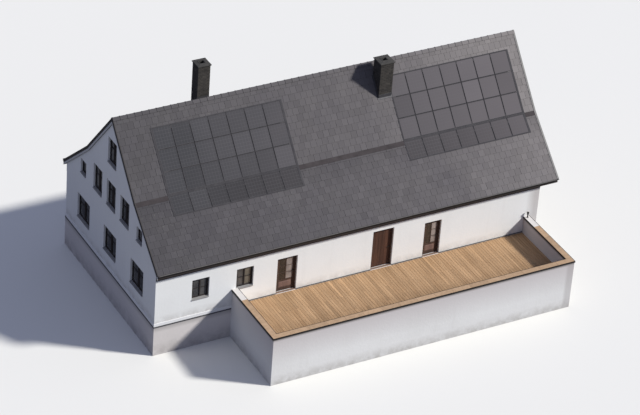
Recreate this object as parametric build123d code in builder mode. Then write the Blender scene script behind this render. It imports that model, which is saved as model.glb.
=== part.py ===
# Holiday cottage: a plastered long house under a bell-cast roof, with a walled timber terrace.
# Millimetres. X runs along the front, Y runs to the back, Z is up. The origin is the middle of
# the base, level with the lowest ground that the plinth stands on.

import os
from math import cos, radians, sin, tan

from build123d import *

os.makedirs("parts", exist_ok=True)

# House body
house_length = 20000.0
house_depth = 9700.0
wall_thickness = 400.0
plinth_height = 1740.0
plinth_projection = 25.0
ground_slab_thickness = 200.0
attic_floor_height = 2600.0
upper_attic_floor_over_kink = 45.6
timber_floor_thickness = 200.0

# Roof: a steep upper slope and an easier lower one, which meet at the kink
eave_height = 2816.0
eave_overhang = 250.0
lower_pitch = 41.5
upper_pitch = 49.5
upper_run = 2540.0
roof_thickness = 180.0
left_verge_overhang = 40.0
right_verge_overhang = 770.0
verge_board_thickness = 28.0
ridge_cap_leg = 190.0
ridge_cap_thickness = 22.0
gutter_radius = 60.0
gutter_wall = 4.0
curve_clearance = 0.3

# Chimneys: distances run from the left end of the house and from the ridge
chimney_cap_thickness = 90.0
chimney_cap_overhang = 35.0
flue_width = 240.0
flue_start_height = 600.0
left_chimney_start = 4220.0
left_chimney_size = 600.0
left_chimney_behind_ridge = 180.0
left_chimney_above_ridge = 1645.0
right_chimney_start = 12950.0
right_chimney_size = 680.0
right_chimney_before_ridge = 470.0
right_chimney_above_ridge = 565.0

# Solar modules lie on the front slopes, above and below the kink
module_width = 900.0
module_thickness = 38.0
module_gap = 20.0
module_columns = 7
upper_module_rows = 3
upper_module_height = 1000.0
lower_module_height = 910.0
module_kink_gap = 45.0
left_array_start = 1640.0
right_array_start = 13680.0

# Window openings, all in walls of the same thickness
frame_setback = 100.0
frame_depth = 70.0
frame_width = 60.0
mullion_width = 70.0
glass_thickness = 24.0
opening_head = 1880.0
front_window_sill = 820.0
front_window_width = 860.0
front_window_starts = (1820.0, 4050.0)
back_window_count = 5
back_window_pitch = 3600.0
gable_ground_sill = 680.0
gable_ground_head = 1980.0
gable_ground_width = 1350.0
gable_ground_pitch = 2900.0
attic_window_sill = 650.0
attic_window_head_cover = 200.0
attic_window_width = 950.0
attic_window_pitch = 1450.0
small_window_corner = 1530.0
small_window_width = 600.0
small_window_head_cover = 150.0
top_window_sill = 550.0
top_window_width = 900.0
top_window_head_cover = 400.8

# Doors: openings measured from the left end of the house, and the leaves that close them
left_terrace_door_start = 6120.0
left_terrace_door_width = 1030.0
plank_door_start = 11050.0
plank_door_width = 1100.0
plank_door_head = 2100.0
right_terrace_door_start = 13800.0
right_terrace_door_width = 900.0
door_frame_width = 60.0
door_frame_depth = 80.0
door_stop_width = 20.0
door_stop_gap = 6.0
leaf_thickness = 45.0
leaf_side_gap = 8.0
leaf_bottom_gap = 10.0
stile_width = 105.0
door_mullion_width = 45.0
lower_panel_top = 620.0
bottom_rail_height = 160.0
panel_recess = 12.0
plank_count = 6
plank_groove_width = 8.0
plank_groove_depth = 5.0

# Hinges and handles
hinge_pin_offset = 20.0
hinge_pin_radius = 6.0
hinge_pin_clearance = 0.3
hinge_barrel_radius = 13.0
hinge_barrel_height = 60.0
hinge_lug_height = 14.0
hinge_plate_thickness = 10.0
hinge_plate_height = 60.0
hinge_plate_width = 45.0
hinge_strap_length = 240.0
hinge_strap_thickness = 8.0
hinge_inset = 260.0
handle_height = 1000.0
handle_rose_radius = 26.0
handle_rose_thickness = 8.0
handle_neck_radius = 9.0
handle_reach = 52.0
handle_lever_length = 125.0
handle_lever_height = 20.0
handle_lever_depth = 14.0

# Terrace
terrace_start = 3855.0
terrace_length = 15700.0
terrace_depth = 4110.0
parapet_thickness = 280.0
parapet_height = 860.0
coping_thickness = 60.0
coping_overhang = 25.0
deck_drop = 20.0
deck_thickness = 30.0
terrace_slab_thickness = 150.0

# Planes that the pieces share
front_reach = terrace_depth + coping_overhang
back_reach = eave_overhang + curve_clearance + 2 * gutter_radius
left_reach = left_verge_overhang + verge_board_thickness
right_reach = right_verge_overhang + verge_board_thickness
x_left = (left_reach - right_reach - house_length) / 2
x_right = x_left + house_length
y_front = (front_reach - back_reach - house_depth) / 2
y_back = y_front + house_depth
x_left_inside = x_left + wall_thickness
x_right_inside = x_right - wall_thickness
y_front_inside = y_front + wall_thickness
y_back_inside = y_back - wall_thickness
z_floor = plinth_height
y_ridge = (y_front + y_back) / 2
eave_run = house_depth / 2 + eave_overhang
roof_start = x_left - left_verge_overhang
roof_length = house_length + left_verge_overhang + right_verge_overhang

# Heights of the roof's upper surface and, straight below each point, the depth of the roof
z_eave = z_floor + eave_height
z_kink = z_eave + (eave_run - upper_run) * tan(radians(lower_pitch))
z_ridge = z_kink + upper_run * tan(radians(upper_pitch))
lower_depth = roof_thickness / cos(radians(lower_pitch))
upper_depth = roof_thickness / cos(radians(upper_pitch))
kink_shift = (upper_depth - lower_depth) / (tan(radians(upper_pitch)) - tan(radians(lower_pitch)))
kink_under_run = upper_run - kink_shift
z_kink_under = z_kink + kink_shift * tan(radians(upper_pitch)) - upper_depth


def underside(run):
    """Height of the roof's underside at a level distance from the ridge."""
    if run < kink_under_run:
        return z_ridge - run * tan(radians(upper_pitch)) - upper_depth
    return z_kink_under - (run - kink_under_run) * tan(radians(lower_pitch))


# Upper faces of the attic floors: the lower one hangs on the walls, the upper one on the kink
z_attic = z_floor + attic_floor_height
z_upper_attic = z_kink_under + upper_attic_floor_over_kink


def block(x_low, x_high, y_low, y_high, z_low, z_high, mode=Mode.ADD):
    """A rectangular piece, or a cut, between two faces each way, in the open part."""
    with Locations((x_low, y_low, z_low)):
        Box(x_high - x_low, y_high - y_low, z_high - z_low, align=(Align.MIN,) * 3, mode=mode)


def write(builder, name):
    """Label a finished piece and write its STEP file."""
    builder.part.label = name
    export_step(builder.part, f"parts/{name}.step")


# Outer faces of the walls, seen from outside: first axis to the right, second axis up
front_face = Plane(origin=(x_left, y_front, z_floor), x_dir=(1, 0, 0), z_dir=(0, -1, 0))
back_face = Plane(origin=((x_left + x_right) / 2, y_back, z_floor), x_dir=(-1, 0, 0), z_dir=(0, 1, 0))
left_face = Plane(origin=(x_left, y_ridge, z_floor), x_dir=(0, -1, 0), z_dir=(-1, 0, 0))
right_face = Plane(origin=(x_right, y_ridge, z_floor), x_dir=(0, 1, 0), z_dir=(1, 0, 0))

# Windows of each wall: centre along the wall, sill, width, head, and side-by-side lights
front_windows = [
    (start + front_window_width / 2, front_window_sill, front_window_width, opening_head, 1)
    for start in front_window_starts
]
back_windows = [
    ((i - (back_window_count - 1) / 2) * back_window_pitch,
     front_window_sill, front_window_width, opening_head, 1)
    for i in range(back_window_count)
]
gable_windows = [
    (i * gable_ground_pitch, gable_ground_sill, gable_ground_width, gable_ground_head, 2)
    for i in (-1, 0, 1)
]
attic_sill = z_attic + attic_window_sill - z_floor
attic_head = z_upper_attic - timber_floor_thickness - attic_window_head_cover - z_floor
gable_windows += [
    (i * attic_window_pitch, attic_sill, attic_window_width, attic_head, 2) for i in (-1, 0, 1)
]
small_window_run = house_depth / 2 - small_window_corner
small_window_head = underside(small_window_run) - small_window_head_cover - z_floor
gable_windows += [
    (side * (small_window_run - small_window_width / 2),
     attic_sill, small_window_width, small_window_head, 1)
    for side in (-1, 1)
]
gable_windows += [
    (0, z_upper_attic + top_window_sill - z_floor, top_window_width,
     underside(top_window_width / 2) - top_window_head_cover - z_floor, 2)
]


def window_frames(face, windows):
    """Frames of one wall, one solid a window, with a mullion between two lights."""
    with BuildPart() as frames:
        with BuildSketch(face.offset(-frame_setback)):
            for centre, sill, width, head, lights in windows:
                with Locations((centre, (sill + head) / 2)):
                    Rectangle(width, head - sill)
                    with GridLocations(light_pitch(width, lights), 0, lights, 1):
                        Rectangle(light_width(width, lights), head - sill - 2 * frame_width,
                                  mode=Mode.SUBTRACT)
        extrude(amount=-frame_depth)
    return frames


def window_glass(face, windows):
    """Panes of one wall, each let into the middle of its frame's depth."""
    with BuildPart() as panes:
        with BuildSketch(face.offset(-frame_setback - (frame_depth - glass_thickness) / 2)):
            for centre, sill, width, head, lights in windows:
                with Locations((centre, (sill + head) / 2)):
                    with GridLocations(light_pitch(width, lights), 0, lights, 1):
                        Rectangle(light_width(width, lights), head - sill - 2 * frame_width)
        extrude(amount=-glass_thickness)
    return panes


def light_width(width, lights):
    """Width of one light between the frame and its mullions."""
    return (width - 2 * frame_width - (lights - 1) * mullion_width) / lights


def light_pitch(width, lights):
    """Distance between the middles of neighbouring lights."""
    return light_width(width, lights) + mullion_width


# Plinth: four rendered masonry walls, a little proud of the walls above
with BuildPart() as plinth_left:
    block(x_left - plinth_projection, x_left_inside,
          y_front - plinth_projection, y_back + plinth_projection, 0, z_floor)
write(plinth_left, "plinth_left")

with BuildPart() as plinth_right:
    block(x_right_inside, x_right + plinth_projection,
          y_front - plinth_projection, y_back + plinth_projection, 0, z_floor)
write(plinth_right, "plinth_right")

with BuildPart() as plinth_front:
    block(x_left_inside, x_right_inside, y_front - plinth_projection, y_front_inside, 0, z_floor)
write(plinth_front, "plinth_front")

with BuildPart() as plinth_back:
    block(x_left_inside, x_right_inside, y_back_inside, y_back + plinth_projection, 0, z_floor)
write(plinth_back, "plinth_back")

# Ground floor slab, between the plinth walls
with BuildPart() as ground_floor:
    block(x_left_inside, x_right_inside, y_front_inside, y_back_inside,
          z_floor - ground_slab_thickness, z_floor)
write(ground_floor, "ground_floor")

# Doorways: left edge, right edge and head of each opening
left_doorway = (x_left + left_terrace_door_start,
                x_left + left_terrace_door_start + left_terrace_door_width, z_floor + opening_head)
plank_doorway = (x_left + plank_door_start,
                 x_left + plank_door_start + plank_door_width, z_floor + plank_door_head)
right_doorway = (x_left + right_terrace_door_start,
                 x_left + right_terrace_door_start + right_terrace_door_width,
                 z_floor + opening_head)
doorways = (left_doorway, plank_doorway, right_doorway)


def long_wall(x_low, x_high, z_low):
    """A stretch of the front wall, with its top cut to the slope of the roof above it."""
    with BuildPart() as wall:
        with BuildSketch(Plane.YZ.offset(x_low)):
            with BuildLine():
                Polyline((y_front, z_low), (y_front_inside, z_low),
                         (y_front_inside, underside(y_ridge - y_front_inside)),
                         (y_front, underside(y_ridge - y_front)), close=True)
            make_face()
        extrude(amount=x_high - x_low)
    return wall


# Front wall: four stretches beside the doorways, with lintels over them
front_wall_pieces = {
    "front_wall_left": (x_left_inside, left_doorway[0]),
    "front_wall_middle": (left_doorway[1], plank_doorway[0]),
    "front_wall_between_doors": (plank_doorway[1], right_doorway[0]),
    "front_wall_right": (right_doorway[1], x_right_inside),
}
for name, (x_low, x_high) in front_wall_pieces.items():
    with BuildPart() as front_wall:
        add(long_wall(x_low, x_high, z_floor).part)
        with BuildSketch(front_face):
            for centre, sill, width, head, lights in front_windows:
                with Locations((centre, (sill + head) / 2)):
                    Rectangle(width, head - sill)
        extrude(amount=-wall_thickness, mode=Mode.SUBTRACT)
    write(front_wall, name)

with BuildPart() as door_lintels:
    for x_low, x_high, z_head in doorways:
        add(long_wall(x_low, x_high, z_head).part)
write(door_lintels, "door_lintels")

# Back wall: the front wall mirrored about the ridge, in one piece, with its own windows
with BuildPart() as back_wall:
    add(mirror(long_wall(x_left_inside, x_right_inside, z_floor).part, about=Plane.XZ.offset(-y_ridge)))
    with BuildSketch(back_face):
        for centre, sill, width, head, lights in back_windows:
            with Locations((centre, (sill + head) / 2)):
                Rectangle(width, head - sill)
    extrude(amount=-wall_thickness, mode=Mode.SUBTRACT)
write(back_wall, "back_wall")


def gable_wall(face):
    """A gable that follows the kinked underside of the roof, with its windows cut through."""
    half_depth = house_depth / 2
    slope = [(half_depth, underside(half_depth) - z_floor),
             (kink_under_run, z_kink_under - z_floor),
             (0, underside(0) - z_floor)]
    with BuildPart() as wall:
        with BuildSketch(face):
            with BuildLine():
                Polyline((-half_depth, 0), (half_depth, 0), *slope,
                         *[(-run, height) for run, height in reversed(slope[:-1])], close=True)
            make_face()
            for centre, sill, width, head, lights in gable_windows:
                with Locations((centre, (sill + head) / 2)):
                    Rectangle(width, head - sill, mode=Mode.SUBTRACT)
        extrude(amount=-wall_thickness)
    return wall


write(gable_wall(left_face), "left_gable_wall")
write(gable_wall(right_face), "right_gable_wall")

# Chimney stacks stand on the ground floor and pass through both attic floors and the roof
left_stack = (x_left + left_chimney_start, y_ridge + left_chimney_behind_ridge,
              left_chimney_size, z_ridge + left_chimney_above_ridge - chimney_cap_thickness)
right_stack = (x_left + right_chimney_start,
               y_ridge - right_chimney_before_ridge - right_chimney_size,
               right_chimney_size, z_ridge + right_chimney_above_ridge - chimney_cap_thickness)
stacks = {"left_chimney": left_stack, "right_chimney": right_stack}


def stack_block(stack, mode=Mode.ADD):
    """The shaft of a chimney, as a piece or as the hole that it passes through."""
    x_low, y_low, size, z_top = stack
    block(x_low, x_low + size, y_low, y_low + size, z_floor, z_top, mode)


def cut_flue(stack, z_open):
    """The square flue up the middle of a chimney, from above its foot to an open top."""
    x_low, y_low, size, z_top = stack
    flue_wall = (size - flue_width) / 2
    block(x_low + flue_wall, x_low + size - flue_wall, y_low + flue_wall, y_low + size - flue_wall,
          z_floor + flue_start_height, z_open, Mode.SUBTRACT)


for name, stack in stacks.items():
    with BuildPart() as chimney:
        stack_block(stack)
        cut_flue(stack, stack[3])
    write(chimney, name)

with BuildPart() as chimney_caps:
    for x_low, y_low, size, z_top in stacks.values():
        block(x_low - chimney_cap_overhang, x_low + size + chimney_cap_overhang,
              y_low - chimney_cap_overhang, y_low + size + chimney_cap_overhang,
              z_top, z_top + chimney_cap_thickness)
    for stack in stacks.values():
        cut_flue(stack, stack[3] + chimney_cap_thickness)
write(chimney_caps, "chimney_caps")

# Attic floor, between the walls, and upper attic floor, bevelled to the roof's underside
with BuildPart() as attic_floor:
    block(x_left_inside, x_right_inside, y_front_inside, y_back_inside,
          z_attic - timber_floor_thickness, z_attic)
    for stack in stacks.values():
        stack_block(stack, Mode.SUBTRACT)
write(attic_floor, "attic_floor")

with BuildPart() as upper_attic_floor:
    with BuildSketch(Plane.YZ.offset(x_left_inside)):
        with BuildLine():
            Polyline((y_ridge - eave_run, underside(eave_run)),
                     (y_ridge - kink_under_run, z_kink_under),
                     (y_ridge, underside(0)),
                     (y_ridge + kink_under_run, z_kink_under),
                     (y_ridge + eave_run, underside(eave_run)), close=True)
        make_face()
        with Locations((y_ridge, z_upper_attic)):
            Rectangle(house_depth, timber_floor_thickness, align=(Align.CENTER, Align.MAX),
                      mode=Mode.INTERSECT)
    extrude(amount=x_right_inside - x_left_inside)
    for stack in stacks.values():
        stack_block(stack, Mode.SUBTRACT)
write(upper_attic_floor, "upper_attic_floor")


def roof_slab(outline, side):
    """A roof slope from its section, for side -1 at the front or 1 at the back.

    The section's points are level distance from the ridge and height.
    """
    with BuildPart() as slab:
        with BuildSketch(Plane.YZ.offset(roof_start)):
            with BuildLine():
                Polyline(*[(y_ridge + side * run, height) for run, height in outline], close=True)
            make_face()
        extrude(amount=roof_length)
        for stack in stacks.values():
            stack_block(stack, Mode.SUBTRACT)
    return slab


# Roof slopes: plumb cuts at ridge and eave, and a mitre where the two pitches meet
upper_slope = [(0, z_ridge), (upper_run, z_kink), (kink_under_run, z_kink_under), (0, underside(0))]
lower_slope = [(upper_run, z_kink), (eave_run, z_eave), (eave_run, z_eave - lower_depth),
               (kink_under_run, z_kink_under)]
write(roof_slab(upper_slope, -1), "roof_front_upper")
write(roof_slab(lower_slope, -1), "roof_front_lower")
write(roof_slab(upper_slope, 1), "roof_back_upper")
write(roof_slab(lower_slope, 1), "roof_back_lower")

# Ridge cap: two legs that lie on the upper slopes
ridge_leg_run = ridge_cap_leg * cos(radians(upper_pitch))
ridge_leg_drop = ridge_cap_leg * sin(radians(upper_pitch))
ridge_cap_rise = ridge_cap_thickness / cos(radians(upper_pitch))
ridge_edge_out = ridge_cap_thickness * sin(radians(upper_pitch))
ridge_edge_up = ridge_cap_thickness * cos(radians(upper_pitch))
with BuildPart() as ridge_cap:
    with BuildSketch(Plane.YZ.offset(roof_start)):
        with BuildLine():
            Polyline((y_ridge, z_ridge), (y_ridge - ridge_leg_run, z_ridge - ridge_leg_drop),
                     (y_ridge - ridge_leg_run - ridge_edge_out,
                      z_ridge - ridge_leg_drop + ridge_edge_up),
                     (y_ridge, z_ridge + ridge_cap_rise),
                     (y_ridge + ridge_leg_run + ridge_edge_out,
                      z_ridge - ridge_leg_drop + ridge_edge_up),
                     (y_ridge + ridge_leg_run, z_ridge - ridge_leg_drop), close=True)
        make_face()
    extrude(amount=roof_length)
write(ridge_cap, "ridge_cap")

# Verge boards close the ends of the roof slabs, from eave to eave
verge_top = [(eave_run, z_eave), (upper_run, z_kink), (0, z_ridge)]
verge_under = [(0, underside(0)), (kink_under_run, z_kink_under), (eave_run, z_eave - lower_depth)]
verge_outline = [(y_ridge - run, height) for run, height in verge_top]
verge_outline += [(y_ridge + run, height) for run, height in reversed(verge_top[:-1])]
verge_outline += [(y_ridge + run, height) for run, height in reversed(verge_under)]
verge_outline += [(y_ridge - run, height) for run, height in verge_under[1:]]
with BuildPart() as verge_boards:
    for x_start in (roof_start - verge_board_thickness, roof_start + roof_length):
        with BuildSketch(Plane.YZ.offset(x_start)):
            with BuildLine():
                Polyline(*verge_outline, close=True)
            make_face()
        extrude(amount=verge_board_thickness)
write(verge_boards, "verge_boards")

# Half-round gutters hang at the plumb cuts of the eaves
with BuildPart() as eave_gutters:
    for side in (-1, 1):
        with BuildSketch(Plane.YZ.offset(roof_start)):
            with Locations((y_ridge + side * (eave_run + curve_clearance + gutter_radius), z_eave)):
                Circle(gutter_radius)
                Circle(gutter_radius - gutter_wall, mode=Mode.SUBTRACT)
                Rectangle(2 * gutter_radius, gutter_radius, align=(Align.CENTER, Align.MIN),
                          mode=Mode.SUBTRACT)
        extrude(amount=roof_length)
write(eave_gutters, "eave_gutters")


def solar_array(start):
    """Rows of framed modules on the upper slope, and one row of shorter ones below the kink."""
    column_pitch = module_width + module_gap
    row_pitch = upper_module_height + module_gap
    middle = x_left + start + (module_columns * column_pitch - module_gap) / 2
    upper_middle = module_kink_gap + (upper_module_rows * row_pitch - module_gap) / 2
    lower_middle = -module_kink_gap - lower_module_height / 2
    corner = (middle, y_ridge - upper_run, z_kink)
    upper_plane = Plane(origin=corner, x_dir=(1, 0, 0),
                        z_dir=(0, -sin(radians(upper_pitch)), cos(radians(upper_pitch))))
    lower_plane = Plane(origin=corner, x_dir=(1, 0, 0),
                        z_dir=(0, -sin(radians(lower_pitch)), cos(radians(lower_pitch))))
    with BuildPart() as array:
        with BuildSketch(upper_plane):
            with Locations((0, upper_middle)):
                with GridLocations(column_pitch, row_pitch, module_columns, upper_module_rows):
                    Rectangle(module_width, upper_module_height)
        with BuildSketch(lower_plane):
            with Locations((0, lower_middle)):
                with GridLocations(column_pitch, 0, module_columns, 1):
                    Rectangle(module_width, lower_module_height)
        extrude(amount=module_thickness)
    return array


write(solar_array(left_array_start), "solar_array_left")
write(solar_array(right_array_start), "solar_array_right")

# Window frames and panes, one node of each for the front, the back and the two gables
write(window_frames(front_face, front_windows), "front_window_frames")
write(window_glass(front_face, front_windows), "front_window_glass")
write(window_frames(back_face, back_windows), "back_window_frames")
write(window_glass(back_face, back_windows), "back_window_glass")

with BuildPart() as gable_window_frames:
    add(window_frames(left_face, gable_windows).part)
    add(window_frames(right_face, gable_windows).part)
write(gable_window_frames, "gable_window_frames")

with BuildPart() as gable_window_glass:
    add(window_glass(left_face, gable_windows).part)
    add(window_glass(right_face, gable_windows).part)
write(gable_window_glass, "gable_window_glass")

# Door frames: jambs and heads with a stop on their outer side, which the leaf closes behind
y_door_outer = y_front + frame_setback
y_door_inner = y_door_outer + door_frame_depth
y_leaf_outer = y_door_inner - leaf_thickness
y_stop = y_leaf_outer - door_stop_gap
with BuildPart() as door_jambs:
    for x_low, x_high, z_head in doorways:
        for edge, inward in ((x_low, 1), (x_high, -1)):
            with BuildSketch(Plane.XY.offset(z_floor)):
                with BuildLine():
                    Polyline((edge, y_door_outer),
                             (edge + inward * (door_frame_width + door_stop_width), y_door_outer),
                             (edge + inward * (door_frame_width + door_stop_width), y_stop),
                             (edge + inward * door_frame_width, y_stop),
                             (edge + inward * door_frame_width, y_door_inner),
                             (edge, y_door_inner), close=True)
                make_face()
            extrude(amount=z_head - z_floor)
write(door_jambs, "door_jambs")

with BuildPart() as door_heads:
    for x_low, x_high, z_head in doorways:
        block(x_low + door_frame_width, x_high - door_frame_width, y_door_outer, y_door_inner,
              z_head - door_frame_width, z_head)
        block(x_low + door_frame_width + door_stop_width, x_high - door_frame_width - door_stop_width,
              y_door_outer, y_stop, z_head - door_frame_width - door_stop_width, z_head)
        for edge, inward in ((x_low, 1), (x_high, -1)):
            x_stop = sorted((edge + inward * door_frame_width,
                             edge + inward * (door_frame_width + door_stop_width)))
            block(*x_stop, y_door_outer, y_stop, z_floor, z_head, Mode.SUBTRACT)
write(door_heads, "door_heads")

# Hinges: a pin on each jamb's inner face, at the left of the leaf, and a barrel that sits on it
y_hinge = y_door_inner + hinge_pin_offset


def leaf_limits(doorway):
    """Left, right, bottom and top edges of the leaf that closes a doorway."""
    x_low, x_high, z_head = doorway
    return (x_low + door_frame_width + leaf_side_gap, x_high - door_frame_width - leaf_side_gap,
            z_floor + leaf_bottom_gap, z_head - door_frame_width - leaf_side_gap)


def hinge_heights(doorway):
    """Undersides of a leaf's two hinge barrels."""
    left, right, bottom, top = leaf_limits(doorway)
    return (bottom + hinge_inset, top - hinge_inset)


with BuildPart() as door_hinge_pins:
    for doorway in doorways:
        x_hinge = leaf_limits(doorway)[0]
        x_plate = doorway[0] + door_frame_width
        for z_barrel in hinge_heights(doorway):
            z_lug = z_barrel - curve_clearance
            block(x_plate - hinge_plate_width, x_plate, y_door_inner,
                  y_door_inner + hinge_plate_thickness, z_lug - hinge_plate_height, z_lug)
            block(x_plate - hinge_barrel_radius, x_hinge, y_door_inner + leaf_side_gap, y_hinge,
                  z_lug - hinge_lug_height, z_lug)
            with Locations((x_hinge, y_hinge, z_lug - hinge_lug_height)):
                Cylinder(hinge_barrel_radius, hinge_lug_height,
                         align=(Align.CENTER, Align.CENTER, Align.MIN))
                Cylinder(hinge_pin_radius, hinge_lug_height + hinge_barrel_height,
                         align=(Align.CENTER, Align.CENTER, Align.MIN))
write(door_hinge_pins, "door_hinge_pins")


def add_hinge_straps(doorway):
    """Barrels over the pins, each with a strap along the inner face of the open part's leaf."""
    x_hinge = leaf_limits(doorway)[0]
    for z_barrel in hinge_heights(doorway):
        block(x_hinge, x_hinge + hinge_strap_length, y_door_inner,
              y_door_inner + hinge_strap_thickness, z_barrel, z_barrel + hinge_barrel_height)
        block(x_hinge, x_hinge + hinge_barrel_radius, y_door_inner, y_hinge,
              z_barrel, z_barrel + hinge_barrel_height)
        with Locations((x_hinge, y_hinge, z_barrel)):
            Cylinder(hinge_barrel_radius, hinge_barrel_height,
                     align=(Align.CENTER, Align.CENTER, Align.MIN))
            Cylinder(hinge_pin_radius + hinge_pin_clearance, hinge_barrel_height,
                     align=(Align.CENTER, Align.CENTER, Align.MIN), mode=Mode.SUBTRACT)


# Plank door: upright planks with a groove at each joint, on its outer face
left, right, bottom, top = leaf_limits(plank_doorway)
with BuildPart() as plank_door:
    block(left, right, y_leaf_outer, y_door_inner, bottom, top)
    with BuildSketch(Plane.XY.offset(bottom)):
        with Locations(((left + right) / 2, y_leaf_outer)):
            with GridLocations((right - left) / plank_count, 0, plank_count - 1, 1):
                Rectangle(plank_groove_width, 2 * plank_groove_depth)
    extrude(amount=top - bottom, mode=Mode.SUBTRACT)
    add_hinge_straps(plank_doorway)
write(plank_door, "plank_door")


def glazed_leaf(doorway):
    """Leaf of a terrace door: two tall panes over a recessed lower panel."""
    left, right, bottom, top = leaf_limits(doorway)
    with BuildPart() as leaf:
        block(left, right, y_leaf_outer, y_door_inner, bottom, top)
        for x_low, x_high in pane_edges(doorway):
            block(x_low, x_high, y_leaf_outer, y_door_inner,
                  z_floor + lower_panel_top, top - stile_width, Mode.SUBTRACT)
        for y_low, y_high in ((y_leaf_outer, y_leaf_outer + panel_recess),
                              (y_door_inner - panel_recess, y_door_inner)):
            block(left + stile_width, right - stile_width, y_low, y_high,
                  bottom + bottom_rail_height, z_floor + lower_panel_top - stile_width, Mode.SUBTRACT)
        add_hinge_straps(doorway)
    return leaf


def pane_edges(doorway):
    """Left and right edges of the two panes beside the middle bar of a terrace door."""
    left, right, bottom, top = leaf_limits(doorway)
    middle = (left + right) / 2
    return ((left + stile_width, middle - door_mullion_width / 2),
            (middle + door_mullion_width / 2, right - stile_width))


def glazed_leaf_glass(doorway):
    """Panes of a terrace door, in the middle of the leaf's thickness."""
    top = leaf_limits(doorway)[3]
    y_glass = y_leaf_outer + (leaf_thickness - glass_thickness) / 2
    with BuildPart() as panes:
        for x_low, x_high in pane_edges(doorway):
            block(x_low, x_high, y_glass, y_glass + glass_thickness,
                  z_floor + lower_panel_top, top - stile_width)
    return panes


def lever_handles(doorway):
    """A lever on each face of a leaf, near its free edge: rose, neck and lever."""
    x_neck = leaf_limits(doorway)[1] - stile_width / 2
    z_neck = z_floor + handle_height
    with BuildPart() as handles:
        for y_leaf, outward in ((y_leaf_outer, -1), (y_door_inner, 1)):
            with BuildSketch(Plane(origin=(x_neck, y_leaf, z_neck), z_dir=(0, outward, 0))):
                Circle(handle_rose_radius)
            extrude(amount=handle_rose_thickness)
            with BuildSketch(Plane(origin=(x_neck, y_leaf, z_neck), z_dir=(0, outward, 0))):
                Circle(handle_neck_radius)
            extrude(amount=handle_reach)
            y_lever = sorted((y_leaf + outward * handle_reach,
                              y_leaf + outward * (handle_reach - handle_lever_depth)))
            block(x_neck - handle_lever_length, x_neck + handle_neck_radius, *y_lever,
                  z_neck - handle_lever_height / 2, z_neck + handle_lever_height / 2)
    return handles


write(lever_handles(plank_doorway), "plank_door_handle")
for name, doorway in (("left_terrace_door", left_doorway), ("right_terrace_door", right_doorway)):
    write(glazed_leaf(doorway), name)
    write(glazed_leaf_glass(doorway), f"{name}_glass")
    write(lever_handles(doorway), f"{name}_handle")

# Terrace: three plastered walls from the ground to the parapet, a slab and a boarded deck
x_terrace_left = x_left + terrace_start
x_terrace_right = x_terrace_left + terrace_length
y_terrace_front = y_front - terrace_depth
y_terrace_inside = y_terrace_front + parapet_thickness
y_plinth = y_front - plinth_projection
z_parapet = z_floor + parapet_height - coping_thickness
z_deck = z_floor - deck_drop

with BuildPart() as terrace_front_wall:
    block(x_terrace_left, x_terrace_right, y_terrace_front, y_terrace_inside, 0, z_parapet)
write(terrace_front_wall, "terrace_front_wall")


def terrace_side_wall(x_low):
    """A side wall that meets the plinth below the floor and the house wall above it."""
    with BuildPart() as wall:
        with BuildSketch(Plane.YZ.offset(x_low)):
            with BuildLine():
                Polyline((y_terrace_inside, 0), (y_plinth, 0), (y_plinth, z_floor),
                         (y_front, z_floor), (y_front, z_parapet), (y_terrace_inside, z_parapet),
                         close=True)
            make_face()
        extrude(amount=parapet_thickness)
    return wall


write(terrace_side_wall(x_terrace_left), "terrace_left_wall")
write(terrace_side_wall(x_terrace_right - parapet_thickness), "terrace_right_wall")

with BuildPart() as terrace_front_coping:
    block(x_terrace_left - coping_overhang, x_terrace_right + coping_overhang,
          y_terrace_front - coping_overhang, y_terrace_inside + coping_overhang,
          z_parapet, z_parapet + coping_thickness)
write(terrace_front_coping, "terrace_front_coping")

with BuildPart() as terrace_side_copings:
    for x_wall in (x_terrace_left, x_terrace_right - parapet_thickness):
        block(x_wall - coping_overhang, x_wall + parapet_thickness + coping_overhang,
              y_terrace_inside + coping_overhang, y_front, z_parapet, z_parapet + coping_thickness)
write(terrace_side_copings, "terrace_side_copings")

with BuildPart() as terrace_slab:
    block(x_terrace_left + parapet_thickness, x_terrace_right - parapet_thickness,
          y_terrace_inside, y_plinth,
          z_deck - deck_thickness - terrace_slab_thickness, z_deck - deck_thickness)
write(terrace_slab, "terrace_slab")

with BuildPart() as terrace_deck:
    block(x_terrace_left + parapet_thickness, x_terrace_right - parapet_thickness,
          y_terrace_inside, y_plinth, z_deck - deck_thickness, z_deck)
write(terrace_deck, "terrace_deck")
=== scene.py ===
import bmesh
import bpy
import numpy as np
from mathutils import Matrix, Vector


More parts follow.
